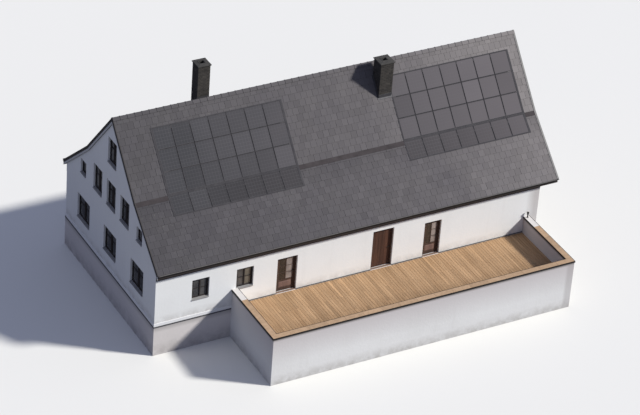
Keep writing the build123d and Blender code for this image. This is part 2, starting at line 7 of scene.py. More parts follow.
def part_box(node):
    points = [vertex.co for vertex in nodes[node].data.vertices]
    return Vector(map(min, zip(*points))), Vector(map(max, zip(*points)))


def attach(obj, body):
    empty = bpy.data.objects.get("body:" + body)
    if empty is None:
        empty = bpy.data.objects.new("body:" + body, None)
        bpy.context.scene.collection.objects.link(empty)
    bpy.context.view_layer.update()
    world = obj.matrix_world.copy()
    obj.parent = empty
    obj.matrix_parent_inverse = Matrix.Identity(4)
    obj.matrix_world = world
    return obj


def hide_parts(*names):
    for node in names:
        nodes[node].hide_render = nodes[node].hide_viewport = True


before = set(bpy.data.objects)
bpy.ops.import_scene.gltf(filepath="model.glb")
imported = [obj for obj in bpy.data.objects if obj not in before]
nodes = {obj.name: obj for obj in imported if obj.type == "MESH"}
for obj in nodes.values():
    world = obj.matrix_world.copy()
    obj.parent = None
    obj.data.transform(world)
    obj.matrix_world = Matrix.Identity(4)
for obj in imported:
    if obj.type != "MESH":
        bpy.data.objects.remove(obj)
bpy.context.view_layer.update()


# Plinth: masonry under a smooth lime and cement render, built up from its footing to the ground
# floor. The coat stands a little proud of the walls, and splashed rain has greyed its foot.
def fill(tree, inputs, values):
    """Give each named input of a node a link or a value. A colour is given as three numbers."""
    for name, value in values.items():
        if isinstance(value, bpy.types.NodeSocket):
            tree.links.new(value, inputs[name])
        elif inputs[name].type == "RGBA":
            inputs[name].default_value = (*value, 1)
        else:
            inputs[name].default_value = value


def add(tree, kind, values=None, **fields):
    """One shader node, with its fields set and its named inputs filled."""
    node = tree.nodes.new(kind)
    for field, value in fields.items():
        setattr(node, field, value)
    fill(tree, node.inputs, values or {})
    return node


def tint(tree, share, first, second):
    """The first colour turned towards the second by a share from 0 to 1."""
    return add(tree, "ShaderNodeMix", {0: share, 6: first, 7: second}, data_type="RGBA").outputs[2]


def reckon(tree, kind, first, *others):
    """One kind of arithmetic, on a number and each of the others in turn, or on one number alone."""
    for other in others or (0.0,):
        first = add(tree, "ShaderNodeMath", {0: first, 1: other}, operation=kind).outputs[0]
    return first


def times(tree, *values):
    """The product of numbers."""
    return reckon(tree, "MULTIPLY", *values)


def plus(tree, *values):
    """The sum of numbers."""
    return reckon(tree, "ADD", *values)


def spread(tree, value, low, high, start=0.0, end=1.0):
    """The value's range from low to high stretched over start to end, and held there beyond it."""
    return add(tree, "ShaderNodeMapRange", {0: value, 1: low, 2: high, 3: start, 4: end}).outputs[0]


def cloud(tree, vector, scale, detail=4.0, roughness=0.55, stretch=(1, 1, 1)):
    """Smooth noise at a number of lumps a metre, drawn out along the axes with a small stretch."""
    place = add(tree, "ShaderNodeMapping", {"Vector": vector, "Scale": stretch}).outputs[0]
    values = {"Vector": place, "Scale": scale, "Detail": detail, "Roughness": roughness}
    return add(tree, "ShaderNodeTexNoise", values).outputs[0]


def parts_of(tree, vector):
    """The three numbers of a place, along X, Y and Z."""
    return add(tree, "ShaderNodeSeparateXYZ", {"Vector": vector}).outputs


def effect(name, takes, gives):
    """A new shader node group, with the sockets that come into it and those that go out."""
    group = bpy.data.node_groups.new(name, "ShaderNodeTree")
    for side, sockets in (("INPUT", takes), ("OUTPUT", gives)):
        for label, kind in sockets.items():
            group.interface.new_socket(label, in_out=side, socket_type="NodeSocket" + kind)
    return group, add(group, "NodeGroupInput").outputs, add(group, "NodeGroupOutput").inputs


def placed(tree, name, **values):
    """What an effect gives out when it is placed in a material with its own values."""
    return add(tree, "ShaderNodeGroup", values, node_tree=bpy.data.node_groups[name]).outputs


def finish(name, rough=0.5, shine=0.5, metal=0.0):
    """A new material: itself, its tree, its shader and the object coordinates that it reads."""
    material = bpy.data.materials.new(name)
    material.use_nodes = True
    tree = material.node_tree
    shader = tree.nodes["Principled BSDF"]
    fill(tree, shader.inputs, {"Roughness": rough, "Specular IOR Level": shine, "Metallic": metal})
    return material, tree, shader, add(tree, "ShaderNodeTexCoord").outputs["Object"]


def skin(tree, shader, colour, height=None, depth=0.0, **others):
    """Give the shader its colour, and bump it by a height from 0 to 1 over a depth in metres."""
    fill(tree, shader.inputs, {"Base Color": colour, **others})
    if depth:
        bump = add(tree, "ShaderNodeBump", {"Height": height, "Distance": depth})
        fill(tree, shader.inputs, {"Normal": bump.outputs[0]})


def dress(material, *names):
    """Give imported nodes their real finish."""
    for name in names:
        nodes[name].data.materials.clear()
        nodes[name].data.materials.append(material)


surface_sockets = {"Color": "Color", "Roughness": "Float", "Height": "Float"}
coat_sockets = {"Vector": "Vector", "Fresh": "Color", "Soiled": "Color", "Foot": "Float", "Reach": "Float"}
tree, given, out = effect("weathered_coat", coat_sockets, surface_sockets)
place = given["Vector"]
broad = spread(tree, cloud(tree, place, 0.4, 5), 0.45, 0.75)
patch = cloud(tree, place, 2.4, 4, 0.6)
streak = spread(tree, cloud(tree, place, 1.0, 4, 0.6, (3.5, 3.5, 0.2)), 0.55, 0.85)
rise = reckon(tree, "SUBTRACT", parts_of(tree, place)["Z"], given["Foot"])
above = reckon(tree, "DIVIDE", rise, given["Reach"])
splash = times(tree, spread(tree, above, 0, 1, 0.75, 0), spread(tree, patch, 0.25, 0.6))
soil = plus(tree, times(tree, broad, 0.14), times(tree, streak, 0.12))
soil = reckon(tree, "MAXIMUM", soil, splash)
fill(tree, out, {"Color": tint(tree, soil, given["Fresh"], given["Soiled"]),
                 "Roughness": spread(tree, patch, 0, 1, 0.82, 0.95),
                 "Height": cloud(tree, place, 9.0, 5, 0.6)})


def coat(name, fresh, soiled, foot, reach, depth, bands):
    """A render or plaster that is soiled from its foot up, over a reach in metres.

    A band is an axis, two places on it, between which the coat turns towards a colour, the share
    of the colour that it reaches there, and the colour.
    """
    material, tree, shader, place = finish(name, shine=0.25)
    worn = placed(tree, "weathered_coat", Vector=place, Fresh=fresh, Soiled=soiled, Foot=foot, Reach=reach)
    colour = worn["Color"]
    for axis, low, high, share, other in bands:
        colour = tint(tree, spread(tree, parts_of(tree, place)[axis], low, high, 0, share), colour, other)
    skin(tree, shader, colour, worn["Height"], depth, Roughness=worn["Roughness"])
    return material


drip_level = 1.59
# The band below the drip strip darkens up towards it: painted shade under the strip. Above the strip the coat
# takes the white of the walls.
plinth_render = coat("plinth_render", (0.70, 0.66, 0.635), (0.40, 0.375, 0.35), 0.0, 0.9, 0.006,
                     [("Z", drip_level - 0.34, drip_level - 0.03, 0.7, (0.26, 0.245, 0.23)),
                      ("Z", drip_level - 0.004, drip_level, 1.0, (0.80, 0.80, 0.795))])
dress(plinth_render, "plinth_front", "plinth_back", "plinth_left", "plinth_right")

# Slabs: cast concrete under the ground floor and the terrace, struck off level and left bare.
# Only their edges and what shows through the windows are ever seen.
concrete, tree, shader, place = finish("concrete", 0.9)
grey = tint(tree, cloud(tree, place, 1.5, 6, 0.65), (0.30, 0.29, 0.27), (0.46, 0.45, 0.42))
skin(tree, shader, grey, cloud(tree, place, 40.0), 0.003)
dress(concrete, "ground_floor", "terrace_slab")

# Walls: solid masonry under white lime plaster, floated by hand, with the reveals plastered too.
# The coat is brightest under the eaves, a little greyed where rain splashes off the terrace, and
# darker at the right-hand end, where the shade is painted.
floor_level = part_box("ground_floor")[1].z
wall_plaster = coat("wall_plaster", (0.832, 0.837, 0.818), (0.54, 0.525, 0.50), floor_level, 0.45, 0.004,
                    [("X", 8.95, 9.4, 0.65, (0.45, 0.41, 0.39))])
stretches = [f"front_wall_{stretch}" for stretch in ("left", "middle", "between_doors", "right")]
dress(wall_plaster, *stretches, "door_lintels", "back_wall", "left_gable_wall", "right_gable_wall")

# Attic floors: sawn spruce boards on joists, laid along the house and built into the walls. They
# are bare, and show only through the upper windows.
tree, given, out = effect(
    "timber_grain", {"Vector": "Vector", "Pale": "Color", "Dark": "Color"}, surface_sockets)
fibre = cloud(tree, given["Vector"], 1.0, 6, 0.65, (0.9, 26, 26))
figure = cloud(tree, given["Vector"], 1.0, 3, 0.5, (0.35, 5, 5))
share = spread(tree, plus(tree, times(tree, fibre, 0.55), times(tree, figure, 0.45)), 0.36, 0.64)
fill(tree, out, {"Color": tint(tree, share, given["Pale"], given["Dark"]),
                 "Roughness": spread(tree, fibre, 0, 1, 0.5, 0.85), "Height": fibre})


def timber(name, pale, dark, turn=(0, 0, 0), change=None, shine=0.5):
    """Wood with its grain along X, or along the axis that the turn brings there.

    A change is a function that alters the colour of the grain from place to place.
    """
    material, tree, shader, place = finish(name, shine=shine)
    turned_place = add(tree, "ShaderNodeMapping", {"Vector": place, "Rotation": turn}).outputs[0]
    grain = placed(tree, "timber_grain", Vector=turned_place, Pale=pale, Dark=dark)
    colour = change(tree, place, grain["Color"]) if change else grain["Color"]
    skin(tree, shader, colour, grain["Height"], 0.001, Roughness=grain["Roughness"])
    return material


floor_timber = timber("floor_timber", (0.42, 0.28, 0.16), (0.25, 0.15, 0.08))
dress(floor_timber, "attic_floor", "upper_attic_floor")


# Chimneys: two stacks of hard-burnt brick, black with soot and weather, laid in bond round one
# flue each. The mortar lies a little back from the faces of the bricks.
def at(x, y, z):
    """Points from their x, y and z, each of which is one number or an array."""
    return np.stack(np.broadcast_arrays(x, y, z), -1).astype(float)


def lengths(low, high, count, gap):
    """Starts and ends of equal lengths laid between two places, with a gap at each meeting."""
    edges = np.linspace(low, high + gap, count + 1)
    return edges[:-1], edges[1:] - gap


def carry(loop, places, across, up):
    """Closed sections carried along one path or many.

    Point (p, q) of section j of piece k goes to places[k, j] + p * across + q * up. Quads join
    neighbouring sections, and a flat face closes each end.
    """
    places = np.reshape(places, (-1, *np.shape(places)[-2:])).astype(float)
    across, up = np.broadcast_to(across, places.shape), np.broadcast_to(up, places.shape)
    loop = np.broadcast_to(loop, places.shape[:2] + np.shape(loop)[-2:])
    points = places[:, :, None] + loop[..., :1] * across[:, :, None] + loop[..., 1:] * up[:, :, None]
    order = np.arange(points[..., 0].size).reshape(points.shape[:3])
    ahead = np.roll(order, -1, 2)
    sides = np.stack([order[:, :-1], ahead[:, :-1], ahead[:, 1:], order[:, 1:]], -1).reshape(-1, 4)
    caps = np.concatenate([order[:, 0, ::-1], order[:, -1]])
    owner = np.repeat(np.arange(len(points)), points[0, ..., 0].size)
    return points.reshape(-1, 3), sides.tolist() + caps.tolist(), owner


def blocks(low, high, chamfer, along):
    """Many blocks between low and high corners.

    Each is its section, a rectangle with its four corners cut at the chamfer, carried straight
    from its low end to its high end along one axis.
    """
    low, high = (np.reshape(corners, (-1, 3)).astype(float) for corners in (low, high))
    side, rise = (along + 1) % 3, (along + 2) % 3
    p, q = (np.stack([low[:, i], low[:, i] + chamfer, high[:, i] - chamfer, high[:, i]], 1)
            for i in (side, rise))
    loop = np.stack([p[:, [0, 0, 1, 2, 3, 3, 2, 1]], q[:, [2, 1, 0, 0, 1, 2, 3, 3]]], -1)[:, None]
    places = np.zeros((len(low), 2, 3))
    places[:, 0, along], places[:, 1, along] = low[:, along], high[:, along]
    return carry(loop, places, np.eye(3)[side], np.eye(3)[rise])


def collar(rectangle, loop, base=np.zeros_like):
    """A mitred ring round a rectangle: section point (p, q) stands p outside it and q over its base.

    The base is a function that gives a height for each distance from front to back.
    """
    x_low, x_high, y_low, y_high = rectangle
    loop = np.asarray(loop, float)
    turn = np.array([[-1, -1], [1, -1], [1, 1], [-1, 1]])
    corner = np.array([[x_low, y_low], [x_high, y_low], [x_high, y_high], [x_low, y_high]])
    plan = corner[:, None] + turn[:, None] * loop[None, :, :1]
    points = at(plan[..., 0], plan[..., 1], loop[:, 1] + base(plan[..., 1]))
    order = np.arange(points[..., 0].size).reshape(points.shape[:2])
    ahead, beside = np.roll(order, -1, 1), np.roll(order, -1, 0)
    sides = np.stack([order, beside, np.roll(ahead, -1, 0), ahead], -1).reshape(-1, 4)
    return points.reshape(-1, 3), sides.tolist(), np.zeros(len(points) * len(loop), int)


def put(name, data):
    """A new object in the scene, at the origin."""
    made = bpy.data.objects.new(name, data)
    bpy.context.scene.collection.objects.link(made)
    return made


def piece(name, shapes, material, body="house", stands_for=(), smooth=False, panel=None):
    """One object out of many shapes, faced outwards, with a chance tone for each separate solid.

    A shape is its points, its faces and the number of the solid that each point belongs to.
    """
    starts = np.cumsum([0] + [len(points) for points, faces, owner in shapes])
    counts = np.cumsum([0] + [owner.max() + 1 for points, faces, owner in shapes])
    corners = np.concatenate([points for points, faces, owner in shapes])
    faces = [[i + start for i in face] for start, shape in zip(starts, shapes) for face in shape[1]]
    mesh = bpy.data.meshes.new(name)
    mesh.from_pydata(corners.tolist(), [], faces)
    solid = bmesh.new()
    solid.from_mesh(mesh)
    bmesh.ops.recalc_face_normals(solid, faces=solid.faces)
    solid.to_mesh(mesh)
    solid.free()
    owners = np.concatenate([owner + count for count, (points, faces, owner) in zip(counts, shapes)])
    chance = np.random.default_rng(sum(map(ord, name))).normal(0.5, 0.2, counts[-1]).clip(0, 1)
    tone = mesh.attributes.new("tone", "FLOAT", "POINT")
    tone.data.foreach_set("value", chance[owners].astype(np.float32))
    if panel is not None:
        spot = mesh.attributes.new("panel", "FLOAT_VECTOR", "POINT")
        spot.data.foreach_set("vector", panel.astype(np.float32).ravel())
    if smooth:
        mesh.shade_smooth()
        mesh.set_sharp_from_angle(angle=0.6)
    mesh.materials.append(material)
    made = put(name, mesh)
    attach(made, body)
    if stands_for:
        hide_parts(*stands_for)


tree, given, out = effect("piece_tone", {"Color": "Color", "Range": "Float"}, {"Color": "Color"})
chance = add(tree, "ShaderNodeAttribute", attribute_name="tone").outputs["Fac"]
lift = times(tree, reckon(tree, "SUBTRACT", chance, 0.5), given["Range"])
shifted = add(tree, "ShaderNodeHueSaturation", {"Color": given["Color"], "Value": plus(tree, lift, 1.0)})
fill(tree, out, {"Color": shifted.outputs[0]})


def toned(name, first, second, tone, rough, lumps, depth=0.002, shine=0.5, metal=0.0):
    """A mineral or metal surface in two close colours, toned from piece to piece."""
    material, tree, shader, place = finish(name, rough, shine, metal)
    colour = tint(tree, spread(tree, cloud(tree, place, lumps, 5, 0.6), 0.3, 0.7), first, second)
    colour = placed(tree, "piece_tone", Color=colour, Range=tone)["Color"]
    skin(tree, shader, colour, cloud(tree, place, 60.0, 3), depth)
    return material


course, joint, brick_depth, brick_edge, flue_half = 0.081, 0.010, 0.115, 0.006, 0.12
core_setback, core_foot, bricked_height = 0.008, 0.3, 3.1
sooty_brick = toned("sooty_brick", (0.024, 0.021, 0.018), (0.050, 0.044, 0.036), 0.7, 0.85, 5.0)
sooty_mortar = toned("sooty_mortar", (0.022, 0.021, 0.019), (0.036, 0.034, 0.031), 0.0, 0.95, 8.0)
chimneys = ("left_chimney", "right_chimney")


def brick_side(axis, low, high, near, levels, count):
    """Bricks of one side of a stack, in every second course: a grid of starts by levels."""
    starts, ends = lengths(low, high, count, joint)
    low = at(starts, near, levels[:, None])
    high = at(ends, near + brick_depth, levels[:, None] + course - joint)
    order = [axis, 1 - axis, 2]
    return blocks(low[..., order], high[..., order], brick_edge, axis)


def stack(name):
    """The low and the high corner of a chimney, and its flue in plan: from and to along X, then Y."""
    low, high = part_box(name)
    x, y = ((low + high) / 2).xy
    return low, high, (x - flue_half, x + flue_half, y - flue_half, y + flue_half)


for name in chimneys:
    low, high, flue = stack(name)
    reach = (high.x - low.x) / 2 - flue_half - core_setback
    foot = low.z + core_foot
    core = collar(flue, [(0, foot), (reach, foot), (reach, high.z), (0, high.z)])
    piece(name + "_core", [core], sooty_mortar, stands_for=[name])
    # the courses are counted down from the cap to below the slope
    levels = np.arange(high.z - course, high.z - bricked_height, -course)
    shapes = []
    for turn, axis in ((0, 0), (0, 1), (1, 0), (1, 1)):
        inset, count = (0.0, 3) if axis == turn else (brick_depth + joint, 2)
        start, end = low[axis] + inset, high[axis] - inset
        for near in (low[1 - axis], high[1 - axis] - brick_depth):
            shapes.append(brick_side(axis, start, end, near, levels[turn::2], count))
    piece(name + "_bricks", shapes, sooty_brick)

# Chimney caps: one dark stone slab on each stack, bedded in mortar, weathered to a fall on top,
# with a raised rim round the mouth of the flue.
cap_stone = toned("cap_stone", (0.034, 0.032, 0.029), (0.065, 0.061, 0.054), 0.2, 0.9, 7.0, 0.003)
cap_overhang = 0.035
caps = []
for name in chimneys:
    low, high, flue = stack(name)
    edge = (high.x - low.x) / 2 + cap_overhang - flue_half
    section = [(0, 0), (edge - 0.012, 0), (edge, 0.012), (edge, 0.052), (edge - 0.01, 0.06), (0.05, 0.078),
               (0.04, 0.09), (0, 0.09)]
    caps.append(collar(flue, np.array(section) + (0, high.z)))
piece("chimney_cap_slabs", caps, cap_stone, stands_for=["chimney_caps"])

# Roof slopes: rafters under softwood boarding, which shows beneath the overhangs and is painted
# near black there: painted shade of the overhangs.
# Two pitches meet at a kink on each side, steeper above it and easier below.
shade_dark_boarding = timber("shade_dark_boarding", (0.048, 0.038, 0.032), (0.030, 0.024, 0.020))
dress(shade_dark_boarding, "roof_front_upper", "roof_front_lower", "roof_back_upper", "roof_back_lower")
(upper_low, upper_high), (lower_low, lower_high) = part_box("roof_front_upper"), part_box("roof_front_lower")
gutter_low, gutter_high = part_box("eave_gutters")
ridge_y, ridge_z = upper_high.yz
kink_run, kink_z = ridge_y - upper_low.y, lower_high.z
eave_run, eave_z = ridge_y - lower_low.y, gutter_high.z
verge_left, verge_right = (corner.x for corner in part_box("verge_boards"))
upper_pitch = np.arctan2(ridge_z - kink_z, kink_run)
lower_pitch = np.arctan2(kink_z - eave_z, eave_run - kink_run)


# Roof tiles: dark grey flat tiles with an interlocking side rib, hung on battens in half bond.
# Each tips up a little over the course below, and none is quite level with its neighbours.
def slope(side, low, high):
    """Axes of a slope from its foot to its head, each given as distance from the ridge and height.

    They are the foot, the way along it, the way up it and the way out of it, and its length.
    Side is -1 at the front and 1 at the back.
    """
    foot = np.array([0, ridge_y + side * low[0], low[1]])
    head = np.array([0, ridge_y + side * high[0], high[1]])
    length = np.linalg.norm(head - foot)
    along, rise = np.array([-side, 0, 0]), (head - foot) / length
    return foot, along, rise, np.cross(along, rise), length


def lay(shape, axes):
    """A shape made flat, with x along, y up and z out, laid on a slope or a wall."""
    points, faces, owner = shape
    return axes[0] + points @ np.array(axes[1:4]), faces, owner


x_way, y_way, z_way = np.eye(3)
eave, kink, ridge = (eave_run, eave_z), (kink_run, kink_z), (0, ridge_z)
slopes = {(side, part): slope(side, *ends) for side in (-1, 1)
          for part, ends in (("lower", (eave, kink)), ("upper", (kink, ridge)))}
tile_width, tile_thickness, tile_lift, tile_lap, verge_gap = 0.306, 0.013, 0.030, 0.07, 0.006
array_boxes = [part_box(f"solar_array_{side}") for side in ("left", "right")]
kink_gap, upper_array_height, lower_array_height = 0.045, 3.04, 0.91

roof_tile, tree, shader, place = finish("roof_tile", 0.9, 0.12)
across, _, height = parts_of(tree, place)
steep = spread(tree, height, kink_z - 0.05, kink_z + 0.05)
# painted sheen: the tiles grow paler towards the right-hand end
painted_sheen = spread(tree, plus(tree, across, times(tree, cloud(tree, place, 0.25, 3), 6.0)), -8.0, 14.0)
colour = tint(tree, painted_sheen, (0.069, 0.066, 0.069), (0.149, 0.137, 0.136))
broad = spread(tree, cloud(tree, place, 0.7, 4, 0.6), 0.3, 0.7)
colour = tint(tree, times(tree, broad, 0.35), colour, (0.078, 0.073, 0.084))
# painted sheen: paler again at the right-hand end, and a little paler on the upper pitch
upper_right_sheen = spread(tree, plus(tree, across, times(tree, steep, 3.0)), 5.0, 14.0, 0, 0.42)
colour = tint(tree, plus(tree, upper_right_sheen, times(tree, steep, 0.05)), colour, (0.33, 0.305, 0.288))
# darker just below the kink, on the lower pitch only
darkening = spread(tree, height, kink_z - 0.75, kink_z - 0.2, 0, 0.28)
colour = tint(tree, times(tree, darkening, reckon(tree, "SUBTRACT", 1.0, steep)), colour, (0.050, 0.047, 0.050))
lichen = spread(tree, cloud(tree, place, 11.0, 5, 0.7), 0.56, 0.68)
drift = spread(tree, cloud(tree, place, 0.5, 3), 0.42, 0.66)
colour = tint(tree, times(tree, lichen, drift, 0.30), colour, (0.19, 0.19, 0.165))
colour = placed(tree, "piece_tone", Color=colour, Range=0.24)["Color"]
skin(tree, shader, colour, cloud(tree, place, 70.0, 4, 0.6), 0.002)


def tile_courses(name, axes, courses, start, stop, left_out):
    """Flat interlocking tiles in courses on one slope.

    A tile's section is a rib, a flat pan and a side step over a flat underside. It is carried
    from its nose, bevelled and lifted over the course below, to its head. Odd courses are moved
    by half a tile. Tiles that lie wholly in a rectangle that is left out aren't made.
    """
    half, gauge = verge_right - verge_gap, (axes[4] - start) / courses
    rows = []
    for odd in (0, 1):
        count = int(np.ceil(2 * half / tile_width)) + odd
        edge = np.clip(-half + (np.arange(count + 1) - odd / 2) * 2 * half / (count - odd), -half, half)
        bottom = start + gauge * np.arange(odd, courses, 2)
        rows.append(at(bottom[:, None], edge[:-1], edge[1:]).reshape(-1, 3))
    bottom, left, right = np.concatenate(rows).T
    hidden = np.zeros(len(bottom), bool)
    for field_left, field_right, field_foot, field_head in left_out:
        hidden |= ((left > field_left) & (right < field_right)
                   & (bottom > field_foot) & (bottom + gauge < field_head))
    bottom, left, right = bottom[~hidden], left[~hidden], right[~hidden]
    shift, tip = np.random.default_rng(courses).normal(0, 0.0012, (2, len(bottom), 1))
    p = np.stack([left, left + 0.006, left + 0.022, left + 0.03,
                  right - 0.007, right - 0.001, right - 0.001, left], 1) + shift
    head = np.minimum(bottom + gauge + tile_lap, stop)
    nose_height = tile_lift + tip
    head_height = tile_lift - tile_thickness * (head - bottom)[:, None] / gauge
    whole = np.array([-0.004, 0.004, 0.004, 0, 0, -0.004, -tile_thickness, -tile_thickness])
    bevelled = whole - np.array([0.003] * 6 + [0] * 2)
    heights = (nose_height + bevelled, nose_height + whole, head_height + whole)
    loop = np.stack([np.stack([p, q], -1) for q in heights], 1)
    places = at(0, np.stack([bottom, bottom + 0.004, head], 1), 0)
    piece(name, [lay(carry(loop, places, x_way, z_way), axes)], roof_tile)


def stack_on_slope(name, axes):
    """The part of a slope that a chimney comes through: from and to along it, then up it."""
    low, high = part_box(name)
    up = np.sort([(y - axes[0][1]) / axes[2][1] for y in (low.y, high.y)])
    along = np.sort([low.x * axes[1][0], high.x * axes[1][0]])
    return *along, *up


lower_length, upper_length = slopes[-1, "lower"][4], slopes[-1, "upper"][4]
lower_courses, upper_courses, eave_overhang, kink_lap, ridge_clear = 11, 12, 0.045, 0.05, 0.015
lower_array_foot = lower_length - kink_gap - lower_array_height
upper_arrays = [(low.x, high.x, kink_gap, kink_gap + upper_array_height) for low, high in array_boxes]
lower_arrays = [(low.x, high.x, lower_array_foot, lower_length - kink_gap) for low, high in array_boxes]
for side, face, chimney, lower_fields, upper_fields in (
        (-1, "front", "right_chimney", lower_arrays, upper_arrays), (1, "back", "left_chimney", [], [])):
    lower_axes, upper_axes = slopes[side, "lower"], slopes[side, "upper"]
    tile_courses(f"roof_tiles_{face}_lower", lower_axes, lower_courses, -eave_overhang,
                 lower_length + kink_lap, lower_fields)
    tile_courses(f"roof_tiles_{face}_upper", upper_axes, upper_courses, 0.0, upper_length - ridge_clear,
                 upper_fields + [stack_on_slope(chimney, upper_axes)])


# Ridge: half-round topped angle tiles in the colour of the roof, each with a collar that covers
# the tail of the one before, bedded at both ends in mortar.
def ridge_line(height, radius, leg=0.115, steps=7):
    """Half section of a ridge tile's face: an arc over the ridge that runs out into straight legs.

    The legs lie at a height square to the slopes, and the arc of that radius touches both.
    """
    angle = np.linspace(-upper_pitch, upper_pitch, steps)
    centre = (height - radius) / np.cos(upper_pitch)
    arc = np.stack([radius * np.sin(angle), centre + radius * np.cos(angle)], 1)
    fall = leg * np.array([np.cos(upper_pitch), -np.sin(upper_pitch)])
    return np.concatenate([[arc[0] + fall * (-1, 1)], arc, [arc[-1] + fall]])


def ridge_section(swell):
    """Closed section of a ridge tile: its face, and its back, both moved out square by a swell."""
    face, back = (ridge_line(ridge_height + out, ridge_radius + out)
                  for out in (swell, swell - ridge_thickness))
    return np.concatenate([face, back[::-1]])


ridge_height, ridge_radius, ridge_thickness, bedding_below = 0.050, 0.075, 0.014, 0.013
ridge_count, ridge_lap = 58, 0.035
ridge_cover = (verge_right - verge_left) / ridge_count
starts = verge_left + ridge_cover * np.arange(ridge_count)
stations = np.array([0.0, 0.040, 0.052, ridge_cover + ridge_lap])
places = at(np.minimum(starts[:, None] + stations, verge_right), ridge_y, ridge_z)
loop = np.stack([ridge_section(swell) for swell in (0.010, 0.010, 0.0, -0.004)])
piece("ridge_tiles", [carry(loop, places, y_way, z_way)], roof_tile,
      stands_for=["ridge_cap"], smooth=True)
bedding = toned("bedding_mortar", (0.30, 0.29, 0.27), (0.42, 0.41, 0.38), 0.0, 0.95, 12.0)
plug = ridge_line(ridge_height - bedding_below, ridge_radius - bedding_below)
plug = np.concatenate([plug, [[0.0, -0.02]]])
plug_x = [[verge_left + 0.012, verge_left + 0.05], [verge_right - 0.05, verge_right - 0.012]]
piece("ridge_end_bedding", [carry(plug, at(plug_x, ridge_y, ridge_z), y_way, z_way)], bedding)


# Verges: boards painted like the walls close the ends of the roof, under a folded strip of sheet
# that laps over the tiles and turns down over the board: dark and narrow on the left, in painted
# shade, and paler and wider on the right, in painted light.
def mitres(line):
    """The way square to a line at each of its points, long enough to keep a thickness round a bend.

    It is the sum of the unit ways in and out, turned by a quarter, over one plus their product.
    """
    way = np.diff(line, axis=0)
    way = way / np.linalg.norm(way, axis=1)[:, None]
    first, last = np.vstack([way[:1], way]), np.vstack([way, way[-1:]])
    square = np.stack([-(first + last)[:, 1], (first + last)[:, 0]], 1)
    return square / (1 + (first * last).sum(1))[:, None]


def folded(line, thickness):
    """Closed section of a folded sheet: its line, and the line moved square to it by a thickness."""
    line = np.asarray(line, float)
    return np.concatenate([line, (line + thickness * mitres(line))[::-1]])


verge_paint = toned("verge_paint", (0.50, 0.50, 0.50), (0.60, 0.60, 0.60), 0.05, 0.7, 2.0, 0.001)
shaded_verge_sheet = toned("shaded_verge_sheet", (0.045, 0.041, 0.040), (0.062, 0.057, 0.055), 0.05, 0.7, 1.5, 0.0005,
                   shine=0.2)
lit_verge_sheet = toned("lit_verge_sheet", (0.19, 0.185, 0.175), (0.26, 0.25, 0.235), 0.05, 0.7, 1.5, 0.0005,
                   shine=0.2)
dress(verge_paint, "verge_boards")
overshoot = 0.035
runs = np.array([eave_run + overshoot, kink_run, 0, -kink_run, -eave_run - overshoot])
strip_end = eave_z - overshoot * np.tan(lower_pitch)
line = np.stack([ridge_y - runs, [strip_end, kink_z, ridge_z, kink_z, strip_end]], 1)
# the left strip is painted shade and the right strip painted light
for name, edge, side, lap, sheet in (("left", verge_left, -1, 0.035, shaded_verge_sheet),
                                     ("right", verge_right, 1, 0.085, lit_verge_sheet)):
    verge_line = [(-lap, 0.031), (-lap + 0.004, 0.038), (0.003, 0.038), (0.003, -0.080), (0.012, -0.090)]
    strip = carry(folded(verge_line, 0.003), at(edge, *line.T), side * x_way, at(0, *mitres(line).T))
    piece(f"verge_strip_{name}", [strip], sheet)

# Shade boards: one dark board under each eave, flat on the top of the wall, where it closes the
# gap between the plaster and the rafters. It is painted shade: a dark band that stands in for the
# shadow of the eave on the plaster.
house_low, house_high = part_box("left_gable_wall")[0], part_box("right_gable_wall")[1]
shade_board_bottom, shade_board_top, shade_board_proud, shade_board_in, shade_board_end = 4.075, 4.50, 0.022, 0.004, 0.002
shade_boards = []
for y, before, behind in ((house_low.y, shade_board_proud, shade_board_in), (house_high.y, shade_board_in, shade_board_proud)):
    shade_boards.append(blocks((house_low.x + shade_board_end, y - before, shade_board_bottom),
                          (house_high.x - shade_board_end, y + behind, shade_board_top), 0.004, 0))
piece("frieze_boards", shade_boards, shade_dark_boarding)


# Gutters: half-round gutters of dark painted sheet on flat steel brackets, with a rolled bead on
# the outer lip and a stop end soldered in at each verge. Their inside is painted pale grey: a
# painted reflection of the sky.
def circle(count):
    """Points round a circle of radius 1: the cosine and the sine of equal angles."""
    angle = np.linspace(0, 2 * np.pi, count, endpoint=False)
    return np.stack([np.cos(angle), np.sin(angle)], -1)


gutter_dark, gutter_pale = (0.026, 0.024, 0.022), (0.040, 0.037, 0.034)
gutter_metal = toned("gutter_metal", gutter_dark, gutter_pale, 0.1, 0.55, 3.0, 0.0005, shine=0.3)
gutter_radius, bead_radius, bead_off = eave_z - gutter_low.z, 0.011, 0.006
bracket_count, bracket_end = 26, 0.3
gutter_with_sky_inside, tree, shader, place = finish("gutter_with_sky_inside", 0.7, 0.3)
from_ridge = reckon(tree, "ABSOLUTE", reckon(tree, "SUBTRACT", parts_of(tree, place)["Y"], ridge_y))
